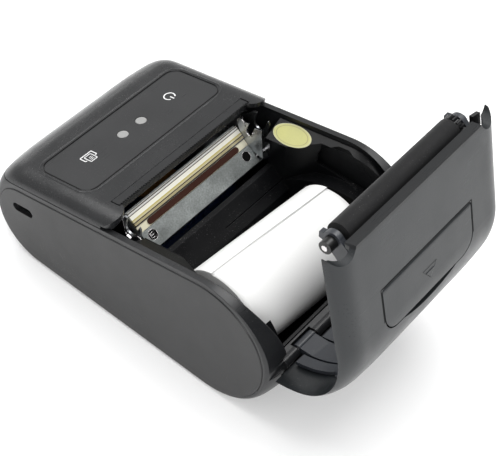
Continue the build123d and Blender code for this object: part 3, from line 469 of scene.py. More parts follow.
# %% Casing plastics
surface("case_plastic", (0.0105, 0.011, 0.012), 0.34, specular=0.42, grain_mm=0.30, bump=0.25,
        smudge=0.10, scratch=0.4, wear=0.35, dusty=0.35)
surface("hood_plastic", (0.0115, 0.012, 0.013), 0.26, specular=0.45, grain_mm=0.30, bump=0.22,
        smudge=0.10, scratch=0.4, wear=0.35, dusty=0.35)
lid_skin = surface("lid_plastic", (0.0125, 0.0145, 0.0162), 0.33, specular=0.38, grain_mm=0.32,
                   bump=0.25, smudge=0.10, scratch=0.4, wear=0.35, dusty=0.25)
surface("plate_plastic", (0.0105, 0.0106, 0.0113), 0.38, specular=0.42, grain_mm=0.22, bump=0.22,
        smudge=0.08, scratch=0.5, wear=0.30, dusty=0.2)
surface("overlay_film", (0.0155, 0.016, 0.017), 0.36, specular=0.45, grain_mm=0.14, bump=0.18,
        smudge=0.08, scratch=0.3, dusty=0.2)
surface("blade_plastic", (0.0115, 0.012, 0.013), 0.30, specular=0.4, grain_mm=0.2, bump=0.15,
        wear=0.5, edge_mm=0.15)
print("casing plastics:", len(finishes))

# %% [markdown]
# ## Inner plastics and boards
# Inside, the paper well is made darker than the case's black, as painted shade of the deep well,
# and the lid's liner is a blue grey. Gears and bushes are self-oiling plastic. The boards are only
# seen when the case comes off and could all share one grey, but with colours of their own the model
# can be taken apart and still be read.

# %% Inner plastics and boards
surface("liner_plastic", (0.024, 0.027, 0.033), 0.36, grain_mm=0.25, bump=0.2, smudge=0.12,
        wear=0.3, dusty=0.5)
# painted shade: the well's plastic is darker than the case's black to stand for the shade in the
# deep well
surface("tub_plastic", (0.0030, 0.0032, 0.0038), 0.34, specular=0.17, grain_mm=0.25, bump=0.2,
        smudge=0.12, wear=0.3, dusty=0.5)
moulded_black = surface("bush_plastic", (0.005, 0.005, 0.005), 0.32, specular=0.4, grain_mm=0.25,
                        bump=0.1, wear=0.3)
surface("gear_plastic", (0.008, 0.008, 0.009), 0.35, grain_mm=0.2, bump=0.1, wear=0.3, edge_mm=0.1)
surface("chip_plastic", (0.02, 0.02, 0.02), 0.5, grain_mm=0.15, bump=0.2)
surface("battery_wrap", (0.02, 0.06, 0.22), 0.3, grain_mm=0.5, bump=0.1, scratch=0.3)
surface("circuit_board", (0.006, 0.07, 0.025), 0.35, grain_mm=0.4, bump=0.15, coat=0.4)
surface("lamp_lens", (0.28, 0.28, 0.275), 0.4, grain_mm=0.2, bump=0.1, smudge=0.05, tint=0.05)
surface("key_rubber", (0.20, 0.20, 0.21), 0.6, grain_mm=0.3, bump=0.2)
surface("ribbon_film", (0.30, 0.14, 0.03), 0.3, grain_mm=0.5, bump=0.08, coat=0.3)
print("plastics in all:", len(finishes))

# %% [markdown]
# ## Rubber and metal
# The platen is ground rubber with a light bloom, which a little sheen gives. The head's back
# plate is cast and blotchy, so its tint is strong and its metal not quite full; the frame is
# plated sheet with long scratches, and the small steel parts are bright. One steel for all
# would be simpler, but it is the difference between them that tells cast from rolled.

# %% Rubber and metal
surface("platen_rubber", (0.0045, 0.0045, 0.005), 0.62, specular=0.18, grain_mm=0.18, bump=0.5,
        smudge=0.12, dusty=0.25, sheen=0.08)
surface("screw_steel", (0.42, 0.42, 0.43), 0.32, metal=1.0, grain_mm=0.15, bump=0.15, wear=0.2)
surface("switch_metal", (0.55, 0.55, 0.56), 0.3, metal=1.0, grain_mm=0.2, bump=0.1)
surface("port_steel", (0.5, 0.5, 0.51), 0.28, metal=1.0, grain_mm=0.2, bump=0.1, scratch=0.4)
plated_sheet = surface("frame_steel", (0.36, 0.37, 0.38), 0.33, metal=1.0, grain_mm=0.5, bump=0.2,
                       smudge=0.2, scratch=0.8, wear=0.3, wear_colour=(0.62, 0.62, 0.62))
bright_steel = surface("shaft_steel", (0.62, 0.60, 0.60), 0.22, metal=1.0, grain_mm=0.15,
                       bump=0.1, scratch=0.4)
surface("motor_steel", (0.45, 0.45, 0.46), 0.35, metal=1.0, grain_mm=0.3, bump=0.1)
surface("pinion_brass", (0.60, 0.42, 0.16), 0.3, metal=1.0, grain_mm=0.2, bump=0.1)
surface("sink_metal", (0.23, 0.245, 0.24), 0.42, metal=0.75, grain_mm=0.6, bump=0.25, smudge=0.3,
        scratch=0.6, tint=0.8, dusty=0.3)
print("finishes:", len(finishes))

# %% [markdown]
# ## Resin, card, paper, ink and painted shade
# The driver chips are potted in dark red-brown resin, which flows out with a wavy skin, so
# its grain is coarse. Thermal paper is smooth and nearly white. The ink of the signs is matt
# white and the arrow's line almost black; the near-black hole_shadow is painted shade for holes,
# gaps and grooves. Plain flat colours would do from afar; with the common builder these small
# things also keep their grain close by.

# %% Resin, card, paper and ink
surface("potting_resin", (0.030, 0.007, 0.003), 0.42, specular=0.2, grain_mm=1.2, bump=0.3,
        smudge=0.1)
surface("core_card", (0.42, 0.34, 0.24), 0.8, grain_mm=0.4, bump=0.3)
paper = surface("thermal_paper", (0.88, 0.88, 0.87), 0.55, grain_mm=0.5, bump=0.10, smudge=0.05,
                tint=0.02, specular=0.3)
ink = surface("sign_ink", (0.74, 0.74, 0.74), 0.5, grain_mm=0.12, bump=0.1, tint=0.05)
mark = surface("arrow_mark", (0.004, 0.0042, 0.0045), 0.5, grain_mm=0.15, specular=0.3)
# painted shade: near-black laid where holes, gaps and grooves would be in shadow
shadow_black = surface("hole_shadow", (0.002, 0.002, 0.002), 0.6, specular=0.1, grain_mm=0.3)
print("finishes:", len(finishes))

# %% [markdown]
# ## Patterns that belong to a place
# Some finishes have a pattern at one spot: bands along the print head, rings on the sticker,
# layers on the ends of the roll. An image map could hold them, but a band is only a range of
# distances along one direction. `along_axis` measures the distance in millimetres, `band`
# makes a soft-edged mask of a range, and `recolour` lays a colour over what is there.

# %% Distance patterns


def along_axis(tree, origin, axis, x=-1100, y=600):
    coords = node(tree, "ShaderNodeTexCoord", x, y)
    sub = node(tree, "ShaderNodeVectorMath", x + 180, y, operation="SUBTRACT")
    sub.inputs[1].default_value = tuple(origin)
    dot = node(tree, "ShaderNodeVectorMath", x + 360, y, operation="DOT_PRODUCT")
    dot.inputs[1].default_value = tuple(axis)
    tree.links.new(coords.outputs["Object"], sub.inputs[0])
    tree.links.new(sub.outputs[0], dot.inputs[0])
    return math_node(tree, "MULTIPLY", dot.outputs["Value"], MM_PER_METRE, x + 540, y)


def band(tree, value, low, high, soft=0.06, x=0, y=900):
    up = ramp(tree, value, low - soft, low + soft, x=x, y=y)
    down = ramp(tree, value, high - soft, high + soft, 1.0, 0.0, x=x, y=y - 120)
    return math_node(tree, "MULTIPLY", up, down, x + 180, y)


def recolour(material, mask, colour):
    t = material.node_tree
    p = next(n for n in t.nodes if n.type == "BSDF_PRINCIPLED")
    old = p.inputs["Base Color"].links[0].from_socket
    t.links.new(mix_colour(t, mask, old, colour, 450, 600), p.inputs["Base Color"])


print("pattern helpers ready")

# %% [markdown]
# ## The print head
# The head is a glazed ceramic strip with pale and gold lines and one thin dark heater line. Its
# last, dark band is painted shadow in the gap before the back plate.
# Ten thin strips of mesh would stand out from the glaze. The lines are all straight and run
# the whole width, so each is a band measured down the head's lean, in millimetres from the
# line under the platen's axis.

# %% Print head: glaze bands and heater line
PLATEN_Y, PLATEN_Z = -5.6, 40.5
HEAD_REACH = 4.5
LEAN = math.radians(38.2)
head_down = Vector((0, math.cos(LEAN), -math.sin(LEAN)))
head_out = Vector((0, math.sin(LEAN), math.cos(LEAN)))
head_origin = mm(0, PLATEN_Y, PLATEN_Z) - head_out * HEAD_REACH * MM
HEAD_BANDS = (
    (-5.0, -4.1, (0.42, 0.41, 0.38)),       # grey edge
    (-4.1, -3.75, (0.02, 0.018, 0.016)),    # dark line
    (-3.75, -3.15, (0.62, 0.61, 0.58)),     # white line
    (-3.15, -2.85, (0.03, 0.025, 0.02)),    # dark line
    (-2.85, -1.35, (0.82, 0.80, 0.70)),     # cream glaze
    (-1.35, -0.95, (0.46, 0.38, 0.10)),     # gold
    (-0.95, -0.35, (0.52, 0.47, 0.27)),     # pale gold
    (-0.35, 0.05, (0.03, 0.02, 0.01)),      # heater line
    (0.05, 0.8, (0.34, 0.29, 0.15)),        # dull gold
    # painted shadow: the dark gap between the glaze and the back plate
    (0.8, 1.4, (0.015, 0.010, 0.006)))      # dark edge
ceramic = surface("head_ceramic", (0.66, 0.62, 0.45), 0.16, grain_mm=0.8, bump=0.05, smudge=0.06,
                  coat=0.6, coat_rough=0.08, tint=0.1)
down_head = along_axis(ceramic.node_tree, head_origin, head_down)
for low, high, colour in HEAD_BANDS:
    recolour(ceramic, band(ceramic.node_tree, down_head, low, high, 0.04), colour)
print("print head bands:", len(HEAD_BANDS))

# %% [markdown]
# ## The sticker
# The sticker is an oval with a printed ring and a paler rim. The ring could be a ribbon laid
# on top, but print has no thickness. The oval's two axes are found from the mesh, so the ring
# stays true if the sticker is moved; a distance of 1 is the sticker's edge.

# %% Sticker rings
STICKER_LONG, STICKER_SHORT = 8.3, 4.2
points = [v.co.copy() for v in nodes["inspection_sticker"].data.vertices]
centre = sum(points, Vector()) / len(points)
arms = [p - centre for p in points]
long_axis = max(arms, key=lambda a: a.length).normalized()
side_arm = max(arms, key=lambda a: a.cross(long_axis).length)
short_axis = (side_arm - long_axis * side_arm.dot(long_axis)).normalized()
sticker = surface("sticker_paper", (0.43, 0.42, 0.115), 0.42, grain_mm=0.6, bump=0.12,
                  smudge=0.1, tint=0.15, coat=0.2)
t = sticker.node_tree
a = math_node(t, "DIVIDE", along_axis(t, centre, long_axis), STICKER_LONG, -400, 900)
b = math_node(t, "DIVIDE", along_axis(t, centre, short_axis, y=900), STICKER_SHORT, -400, 1000)
square = math_node(t, "ADD", math_node(t, "MULTIPLY", a, a), math_node(t, "MULTIPLY", b, b))
radius = math_node(t, "SQRT", square)
recolour(sticker, band(t, radius, 0.93, 1.5, 0.015), (0.47, 0.46, 0.24))
recolour(sticker, band(t, radius, 0.80, 0.835, 0.01), (0.24, 0.22, 0.08))
print("sticker centre", [round(c * 1000, 1) for c in centre])

# %% [markdown]
# ## Front edge of the lid
# The narrow face along the lid's front edge looks steeply forward, so it lies in shade and
# reads darker than the lid; that shade is painted into its colour. It could be cut off as a piece
# of its own; a mask on the height along the open lid picks it out and leaves the frame alone.

# %% Painted shade on the lid's front edge
OPEN_LEAN = math.radians(16.7)
EDGE_FROM, EDGE_TO = 70.75, 71.0
lid_along = Vector((0, -math.sin(OPEN_LEAN), math.cos(OPEN_LEAN)))
lid_out = Vector((0, math.cos(OPEN_LEAN), math.sin(OPEN_LEAN)))
edge_height = along_axis(lid_skin.node_tree, (0, 0, 0), lid_along)
# painted shade on the forward-looking front edge of the lid
edge_shade_mask = ramp(lid_skin.node_tree, edge_height, EDGE_FROM, EDGE_TO, x=0, y=900)
recolour(lid_skin, edge_shade_mask, (0.006, 0.0068, 0.0078))
print("lid edge mask above", EDGE_FROM, "mm")

# %% [markdown]
# ## Put the finishes on the pieces
# Every piece of the frame names its finish in its material slot. They could be given one by
# one, but a loop over those names can't forget a piece, and prints any name without a finish.

# %% Assign finishes
missing = set()
for obj in nodes.values():
    for slot in obj.material_slots:
        key = slot.material.name.split(".")[0]
        if key in finishes:
            slot.material = finishes[key]
        else:
            missing.add(key)
print("no finish yet for:", sorted(missing))

# %% [markdown]
# ## The paper roll
# A real roll isn't a cylinder: the paper is wound in a spiral, the last turn is loose and its
# end lifts a little. A cloth simulation could drop it in place, but a roll that only turns
# needs none. Its radius follows the angle measured back from the paper's end, with a wave of
# a few hundredths of a millimetre, and the roll lies a little askew in the well.

# %% Shape of the roll
ROLL_R, ROLL_HALF, BORE_R = 17.42, 28.45, 6.55
TAIL_ANGLE = math.radians(109.0)
LIFT_SPAN = math.radians(95.0)
LAST_TURN = 0.30
ROLL_STEPS, ROLL_RINGS = 160, 26
SKEW = math.radians(4.6)
ROLL_AT = (0.8, 33.7, 22.0)
roll_place = Matrix.Translation(mm(*ROLL_AT)) @ Matrix.Rotation(-SKEW, 4, "Z")


def roll_stations():
    return [-ROLL_HALF + 2 * ROLL_HALF * k / ROLL_RINGS for k in range(ROLL_RINGS + 1)]


def roll_radius(turned, angle, s):
    left = max(0.0, 1.0 - turned / LIFT_SPAN)
    wave = 0.035 * math.sin(3 * angle + 0.07 * s) + 0.02 * math.sin(0.31 * s + 2 * angle)
    return ROLL_R - LAST_TURN + LAST_TURN * left ** 2 + wave


def on_circle(s, r, angle):
    return mm(s, r * math.cos(angle), r * math.sin(angle))


print("roll: %.1f mm across, %.1f mm wide" % (2 * ROLL_R, 2 * ROLL_HALF))

# %% [markdown]
# ## Winding the roll
# The roll's skin is a row of rings, one beside the other, with faces between neighbours, and
# its flat ends reach from the outer edge in to the bore. A cylinder with a modifier could be
# bent to this shape, but then the small step at the paper's end would be lost. The solid
# model's plain roll gives way to this one.

# %% Wind the roll


def roll_end(first, s, facing_in):
    """The flat end between the outer edge, which starts at point first, and the bore."""
    start = len(roll_points)
    for i in range(ROLL_STEPS):
        angle = TAIL_ANGLE + 2 * math.pi * i / (ROLL_STEPS - 1)
        roll_points.append(on_circle(s, BORE_R, angle))
    for i in range(ROLL_STEPS):
        j = (i + 1) % ROLL_STEPS
        face = (first + i, start + i, start + j, first + j)
        roll_faces.append(face if facing_in else face[::-1])


roll_points, roll_faces = [], []
for s in roll_stations():
    for i in range(ROLL_STEPS):
        turned = 2 * math.pi * i / (ROLL_STEPS - 1)
        angle = TAIL_ANGLE + turned
        roll_points.append(on_circle(s, roll_radius(turned, angle, s), angle))
for k in range(ROLL_RINGS):
    for i in range(ROLL_STEPS):
        a, b = k * ROLL_STEPS + i, k * ROLL_STEPS + (i + 1) % ROLL_STEPS
        roll_faces.append((a, b, b + ROLL_STEPS, a + ROLL_STEPS))
roll_end(0, -ROLL_HALF, True)
roll_end(ROLL_RINGS * ROLL_STEPS, ROLL_HALF, False)
roll = make_mesh("paper_roll_wound", roll_points, roll_faces, "roll", "thermal_paper", paper,
                 place=roll_place)
for poly in roll.data.polygons:
    poly.use_smooth = abs(poly.normal.x) < 0.5
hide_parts("paper_roll")
print("roll:", len(roll.data.polygons), "faces")

# %% [markdown]
# ## The loose end of the paper
# The last turn ends in a strip one sheet thick, which leaves the roll a little before its end
# so that the edge throws a fine shadow. It could be part of the roll's mesh, but a strip of
# its own keeps a clean edge and its real thickness of 0.07 mm. It must clear the well when
# the roll turns, which limits the lift.

# %% Lay the loose end
TAIL_STEPS, SHEET_THICK, TAIL_LIFT, TAIL_GAP = 48, 0.07, 0.34, 0.05


def tail_radius(back, s):
    flare = TAIL_LIFT * max(0.0, 1.0 - back / LIFT_SPAN) ** 2
    return ROLL_R + TAIL_GAP + flare * (1.0 + 0.25 * math.sin(0.09 * s + 0.8))


tail_points, tail_faces = [], []
for s in roll_stations():
    for i in range(TAIL_STEPS + 1):
        back = LIFT_SPAN * 1.2 * i / TAIL_STEPS
        angle = TAIL_ANGLE + back + 0.012 * math.sin(0.05 * s)
        r = tail_radius(back, s)
        tail_points += [on_circle(s, r + h, angle) for h in (0.0, SHEET_THICK)]
row = 2 * (TAIL_STEPS + 1)
for k in range(ROLL_RINGS):
    for i in range(TAIL_STEPS):
        a, b = k * row + 2 * i, (k + 1) * row + 2 * i
        tail_faces += [(a + 1, a + 3, b + 3, b + 1), (a, b, b + 2, a + 2)]
    a, b = k * row, (k + 1) * row
    tail_faces += [(a, a + 1, b + 1, b), (a + row - 2, b + row - 2, b + row - 1, a + row - 1)]
for end in (0, ROLL_RINGS * row):
    for i in range(TAIL_STEPS):
        a = end + 2 * i
        face = (a, a + 2, a + 3, a + 1)
        tail_faces.append(face if end == 0 else face[::-1])
tail = make_mesh("paper_tail", tail_points, tail_faces, "roll", "thermal_paper", paper,
                 place=roll_place)
print("tail:", len(tail.data.polygons), "faces")

# %% [markdown]
# ## Layers on the roll's ends
# Hundreds of layers show on the end faces as fine rings, with darker patches where they were
# wound tighter. Modelling each turn would be wasteful. A sine of the distance from the axis
# draws the rings, a noise makes them uneven, and a mask keeps them to the end faces.

# %% Layer rings
RING_WAVES = 26000.0
END_FROM, END_TO = 0.02835, 0.02842
wound = paper.copy()
wound.name = "thermal_paper_wound"
t = wound.node_tree
coords = node(t, "ShaderNodeTexCoord", -1500, 900)
parts = node(t, "ShaderNodeSeparateXYZ", -1300, 900)
t.links.new(coords.outputs["Object"], parts.inputs[0])
x_part, y_part, z_part = parts.outputs
y_square = math_node(t, "MULTIPLY", y_part, y_part, -1100, 950)
z_square = math_node(t, "MULTIPLY", z_part, z_part, -1100, 850)
square = math_node(t, "ADD", y_square, z_square, -900, 900)
from_axis = math_node(t, "SQRT", square, x=-750, y=900)
phase = math_node(t, "MULTIPLY", from_axis, RING_WAVES, -600, 900)
layers = math_node(t, "SINE", phase, x=-450, y=900)
ring_noise = noise(t, coords.outputs["Object"], 900.0, 2.0, x=-750, y=1100)
sideways = math_node(t, "ABSOLUTE", x_part, x=-1100, y=700)
at_end = ramp(t, sideways, END_FROM, END_TO, x=-700, y=700)
rings = ramp(t, layers, 0.1, 0.9, 0.0, 0.35, x=-300, y=900)
uneven = math_node(t, "MULTIPLY", rings, ring_noise, -100, 900)
recolour(wound, math_node(t, "MULTIPLY", uneven, at_end, 100, 900), (0.45, 0.44, 0.43))
roll.data.materials[0] = wound
print("wound paper:", wound.name)

# %% [markdown]
# ## Far cheek of the print mechanism
# At the far end a plated sheet stands between the head and the gears, with a notch where the
# platen's shaft drops in. It is so thin that it counts as trim, so it is cut here from a flat
# outline in Y and Z and given a thickness. The notch follows the shaft's way in and out.

# %% Far cheek
SHEET_X0, SHEET_X1 = -29.14, -28.92
NOTCH_R, NOTCH_DEPTH = 1.35, 3.6
platen = Vector((PLATEN_Y, PLATEN_Z))
slot_out = Vector((0.211, 0.978))
slot_side = Vector((0.978, -0.211))


def sheet(outline, x0, x1):
    """A flat outline in Y and Z, thickened from x0 to x1."""
    n = len(outline)
    points = [mm(x, y, z) for x in (x0, x1) for y, z in outline]
    faces = [tuple(range(n)), tuple(range(2 * n - 1, n - 1, -1))]
    faces += [(i, i + n, (i + 1) % n + n, (i + 1) % n) for i in range(n)]
    return points, faces


def notch(radius, depth, steps=12):
    """The outline of a notch for a shaft, from its left lip round to its right lip."""
    out = [platen - slot_side * radius + slot_out * depth]
    for k in range(steps + 1):
        a = math.pi * k / steps
        out.append(platen - slot_side * radius * math.cos(a) - slot_out * radius * math.sin(a))
    return out + [platen + slot_side * radius + slot_out * depth]


cheek_outline = [(-11.0, 41.0), (-11.0, 43.3), (-10.2, 44.2), (-8.6, 43.6)]
cheek_outline += [tuple(p) for p in notch(NOTCH_R, NOTCH_DEPTH)]
cheek_outline += [(-0.5, 44.6), (-0.2, 42.0), (1.5, 31.7), (-3.7, 32.7), (-8.1, 35.0), (-9.8, 38.2)]
far_cheek = sheet(cheek_outline, SHEET_X0, SHEET_X1)
make_mesh("far_cheek", *far_cheek, "case", "frame_steel", plated_sheet)
print("far cheek:", len(cheek_outline), "corners")

# %% [markdown]
# ## Wires of the print mechanism
# Springy wire catches hold the platen's bushes: at the far end an eye and a hook on the
# cheek, at the near end an open ring and a bent hook, with a small bright foot of sheet. They
# could be built in the solid model, but so thin they would only slow it down. Each wire is a
# round section swept along a path, and keeps clear of what drops in beside it when the lid
# shuts.

# %% Bent wire
FAR_X, NEAR_X = -28.90, 34.0
EYE_X, EYE_R = -28.88, 1.62
NEAR_RING_Y, NEAR_RING_Z, NEAR_RING_R = -1.7, 38.7, 1.35
EYE_WIRE, FAR_HOOK_WIRE, RING_WIRE, NEAR_HOOK_WIRE = 0.18, 0.20, 0.30, 0.28
FOOT_X0, FOOT_X1 = 33.7, 34.7


def arc_path(x, y, z, r, start, step, count):
    angles = [math.radians(start + step * k) for k in range(count)]
    return [(x, y + r * math.cos(a), z + r * math.sin(a)) for a in angles]


def hook_path(x, corners, r):
    return rounded_path([(x, y, z) for y, z in corners], r)


far_eye = arc_path(EYE_X, PLATEN_Y, PLATEN_Z, EYE_R, 150, 16, 16)
far_hook = hook_path(FAR_X, ((-11.3, 41.4), (-11.2, 44.2), (-8.7, 44.3), (-7.6, 42.2)), 1.0)
far_wire = join_parts([tube(far_eye, EYE_WIRE), tube(far_hook, FAR_HOOK_WIRE)])
make_mesh("far_wire", *far_wire, "case", "frame_steel", bright_steel, smooth=True)
near_ring = arc_path(NEAR_X, NEAR_RING_Y, NEAR_RING_Z, NEAR_RING_R, -60, 18, 14)
near_hook = hook_path(
    NEAR_X, ((-9.9, 44.4), (-8.9, 42.2), (-8.4, 40.2), (-7.9, 37.8), (-6.2, 37.0)), 0.8)
near_wire = join_parts([tube(near_ring, RING_WIRE), tube(near_hook, NEAR_HOOK_WIRE)])
make_mesh("near_wire", *near_wire, "case", "frame_steel", bright_steel, smooth=True)
foot = sheet([(-6.9, 36.5), (-5.2, 36.3), (-4.9, 37.4), (-6.6, 37.7)], FOOT_X0, FOOT_X1)
make_mesh("near_foot", *foot, "case", "frame_steel", bright_steel)
print("wires: 2")

# %% [markdown]
# ## Holes of the head's back plate
# The two holes are pierced from the front, which leaves a bright burr round a dark hole.
# Changing the solid model's plate isn't allowed here. The solid model's plate is left as it
# is, so a ring of thin wire stands for the burr, and a near-black disc, painted shade, for the
# depth behind it. In the near hole sits a small spring clip. All of them ride on the head,
# which rocks on its springs.

# %% Dress the holes
HOLE_X, HOLE_U, HOLE_R = 25.1, 6.8, 1.9
BURR_R, CLIP_R = 0.11, 0.16
BURR_SINK, CLIP_SINK, DISC_SINK = -0.18, -0.25, -0.35
DISC_GAP, DISC_SIDES, RIM_SIDES = 0.05, 28, 32


def head_place(x, u, n):
    """A point on the head: x across, u down its lean, n out of its face."""
    return head_origin + head_down * u * MM + head_out * n * MM + mm(x, 0, 0)


def head_ring(x, radius, n, sides):
    angles = [2 * math.pi * k / sides for k in range(sides)]
    return [head_place(x + radius * math.cos(a), HOLE_U + radius * math.sin(a), n) for a in angles]


burrs = []
for x, side in ((-HOLE_X, "far"), (HOLE_X, "near")):
    rim = [p / MM for p in head_ring(x, HOLE_R, BURR_SINK, RIM_SIDES)]
    burrs.append(tube(rim + rim[:1], BURR_R, 8))
    # painted shade: a near-black disc sunk in each hole for its dark depth
    shade_disc = head_ring(x, HOLE_R - DISC_GAP, DISC_SINK, DISC_SIDES)
    face = tuple(range(DISC_SIDES))
    make_mesh("hole_" + side, shade_disc, [face], "print_head", "sink_metal", shadow_black)
make_mesh("hole_burrs", *join_parts(burrs), "print_head", "sink_metal", bright_steel, smooth=True)
CLIP_BARS = ((-1.1, -0.9, 1.1, -0.9), (-1.0, 0.0, 0.9, 0.0), (-1.0, 0.9, 0.9, 0.9),
             (1.0, -0.9, 1.0, 0.9))
clip = []
for a, b, c, d in CLIP_BARS:
    bar = [head_place(HOLE_X + x, HOLE_U + u, CLIP_SINK) / MM for x, u in ((a, b), (c, d))]
    clip.append(tube(bar, CLIP_R, 8))
make_mesh("hole_clip", *join_parts(clip), "print_head", "sink_metal", bright_steel, smooth=True)
print("holes dressed:", len(burrs))

# %% [markdown]
# ## Corner block of the lid
# Inside the lid's far front corner sits a short moulded block that guides the lid when it
# shuts. `lid_place` finds a point on the open lid from three plain numbers: across, up along
# the lid, and depth under its outer face. Working in the room's axes would need a sine and a
# cosine for every corner.

# %% Corner block
LID_FACE = 102.66
BLOCK_FRONT, BLOCK_BACK = 5.5, 6.9


def lid_place(x, s, depth):
    return mm(x, 0, 0) + (lid_along * s + lid_out * (LID_FACE - depth)) * MM


block_outline = ((-40.1, 66.0), (-36.0, 66.0), (-36.0, 71.2), (-40.1, 70.4))
block_points = [lid_place(x, s, depth) for depth in (BLOCK_FRONT, BLOCK_BACK)
                for x, s in block_outline]
block_faces = [(0, 1, 2, 3), (7, 6, 5, 4), (0, 4, 5, 1), (1, 5, 6, 2), (2, 6, 7, 3), (3, 7, 4, 0)]
make_mesh("lid_corner_block", block_points, block_faces, "lid", "lid_plastic", moulded_black)
print("corner block: %.1f mm thick" % (BLOCK_BACK - BLOCK_FRONT))

# %% [markdown]
# ## Arrow on the pull flap
# The flap carries a plain arrow that says which way to pull. It could be cut into the solid,
# but three strokes this fine are print-sized, so a closed ribbon in near-black draws it. It
# rides on the flap.

# %% Arrow
ARROW = [(-3.6, 4.0), (3.6, 4.0), (0.0, -0.4)]
ARROW_UP, ARROW_LINE, ARROW_LIFT = 36.0, 0.38, 0.02
to_the_left = Vector((-1, 0, 0))
arrow_place = (lid_place(0.0, ARROW_UP, -ARROW_LIFT), to_the_left, lid_along, lid_out)
arrow = ribbon(ARROW, ARROW_LINE, arrow_place, closed=True)
make_mesh("lever_arrow", *arrow, "lever", "lid_plastic", mark)
print("arrow:", len(ARROW), "corners")

# %% [markdown]
# ## Painted shade of the joint round the pull flap
# Round the flap the lid has a deep joint, dark with shade. The solid model's gap is narrower, and a
# wider one would weaken the flap's seat, so a near-black ribbon on the lid's side paints that shade
# and widens the joint to the eye. It stays off the flap, which has to swing past it.

# %% Painted shade round the flap
FLAP_SIDE, FLAP_TOP, FLAP_LOW = 24.36, 48.92, 35.98
LINE_WIDTH, LINE_LIFT, HAIR = 0.46, 0.015, 0.01
line_place = (lid_place(0.0, 0.0, -LINE_LIFT), to_the_left, lid_along, lid_out)
line_path = [(-FLAP_SIDE, FLAP_LOW), (-FLAP_SIDE, FLAP_TOP), (FLAP_SIDE, FLAP_TOP),
             (FLAP_SIDE, FLAP_LOW)]
legs = [ribbon([a, b], LINE_WIDTH, line_place, HAIR) for a, b in zip(line_path, line_path[1:])]
# painted shade: a near-black ribbon where the deep joint would be in shadow
make_mesh("flap_shade_line", *join_parts(legs), "lid", "lid_plastic", shadow_black)
print("flap line between", FLAP_LOW, "and", FLAP_TOP, "mm up the lid")

# %% [markdown]
# ## Bead and groove of the key panel
# The key film lies in a recess with a low bead round it and a deep groove between. The bead
# could be a bevelled ridge; a round wire sunk by half its radius is quicker and catches the
# light in the same way. The groove's shade is painted as a near-black ribbon, and both follow one
# rounded outline.

# %% Bead round the key panel
PANEL_HALF, PANEL_MID, PANEL_REACH, PANEL_CORNER = 35.0, -35.45, 12.2, 4.5
BEAD_OUT, BEAD_SUNK, BEAD_R = 1.15, -0.22, 0.45
GROOVE_OUT, GROOVE_WIDTH, GROOVE_LIFT = 0.1, 0.42, 0.012


def panel_path(grow, steps=8):
    """The panel's rounded outline, larger by grow, as points in its own plane."""
    r = PANEL_CORNER + grow
    out = []
    for sx, sy, start in ((1, 1, 0), (-1, 1, 90), (-1, -1, 180), (1, -1, 270)):
        cx, cy = sx * (PANEL_HALF - PANEL_CORNER), sy * (PANEL_REACH - PANEL_CORNER)
        for k in range(steps + 1):
            a = math.radians(start + 90 * k / steps)
            out.append((cx + r * math.cos(a), cy + r * math.sin(a)))
    return out


origin, across, along, up = top_frame(0.0, PANEL_MID, 0.0)
bead_path = [origin / MM + across * u + along * v + up * BEAD_SUNK for u, v in panel_path(BEAD_OUT)]
bead = tube(bead_path + bead_path[:2], BEAD_R, 10)
make_mesh("panel_bead", *bead, "case", "hood_plastic", finishes["hood_plastic"], smooth=True)
groove_place = top_frame(0.0, PANEL_MID, GROOVE_LIFT)
# painted shade: a near-black ribbon for the shadow in the groove round the key film
groove_shade = ribbon(panel_path(GROOVE_OUT), GROOVE_WIDTH, groove_place, HAIR, closed=True)
make_mesh("panel_groove_shade", *groove_shade, "case", "hood_plastic", shadow_black)
print("panel bead:", len(bead_path), "stations")

# %% [markdown]
# ## Power sign on the key film
# The power key is printed in white with an open ring and a stroke. An image would blur close
# by, so the sign is drawn from an arc and a stroke with `ribbon`, a hair above the sunk film.

# %% Power sign
FILM_DEPTH = 0.1
SIGN_LIFT = 0.005 - FILM_DEPTH
POWER_R, POWER_LINE = 2.05, 0.50
place = top_frame(-21.0, -36.9, SIGN_LIFT)
opening = [math.radians(a) for a in range(125, 416, 10)]
arc = [(POWER_R * math.cos(a), POWER_R * math.sin(a)) for a in opening]
strokes = [ribbon(line, POWER_LINE, place) for line in (arc, [(0, 0.35), (0, 2.35)])]
make_mesh("sign_power", *join_parts(strokes), "case", "overlay_film", ink)
print("power sign:", len(strokes), "strokes")

# %% [markdown]
# ## Paper sign on the key film
# The feed key shows a sheet with three lines in a tray. Letters would need a font and a
# language; a few rounded strokes need neither, and are made in the same way as the ring.

# %% Paper sign
LEAF_LINE, TRAY_LINE, FINE_LINE = 0.36, 0.42, 0.26
place = top_frame(20.6, KEY_ROW_Y, SIGN_LIFT)
leaf = rounded_path([(-0.2, -1.35), (-1.5, -1.35), (-1.5, 2.2), (1.5, 2.2), (1.5, -1.35),
                     (-0.2, -1.35)], 0.35, 4)
tray = rounded_path([(-2.0, 0.6), (-2.7, 0.6), (-2.7, -2.2), (2.7, -2.2), (2.7, 0.6),
                     (2.0, 0.6)], 0.3, 4)
strokes = [ribbon(leaf, LEAF_LINE, place), ribbon(tray, TRAY_LINE, place)]
for height, end in ((1.35, 0.8), (0.65, 0.8), (-0.05, 0.5)):
    strokes.append(ribbon([(-0.8, height), (end, height)], FINE_LINE, place))
make_mesh("sign_paper", *join_parts(strokes), "case", "overlay_film", ink)
print("paper sign:", len(strokes), "strokes")

# %% [markdown]
# ## Floor
# On an empty white background the printer would float. A large pale square under it takes its
# soft shadow; a curved backdrop would do too, but the camera only sees what lies flat. The
# floor is a stage piece: it isn't part of the printer.

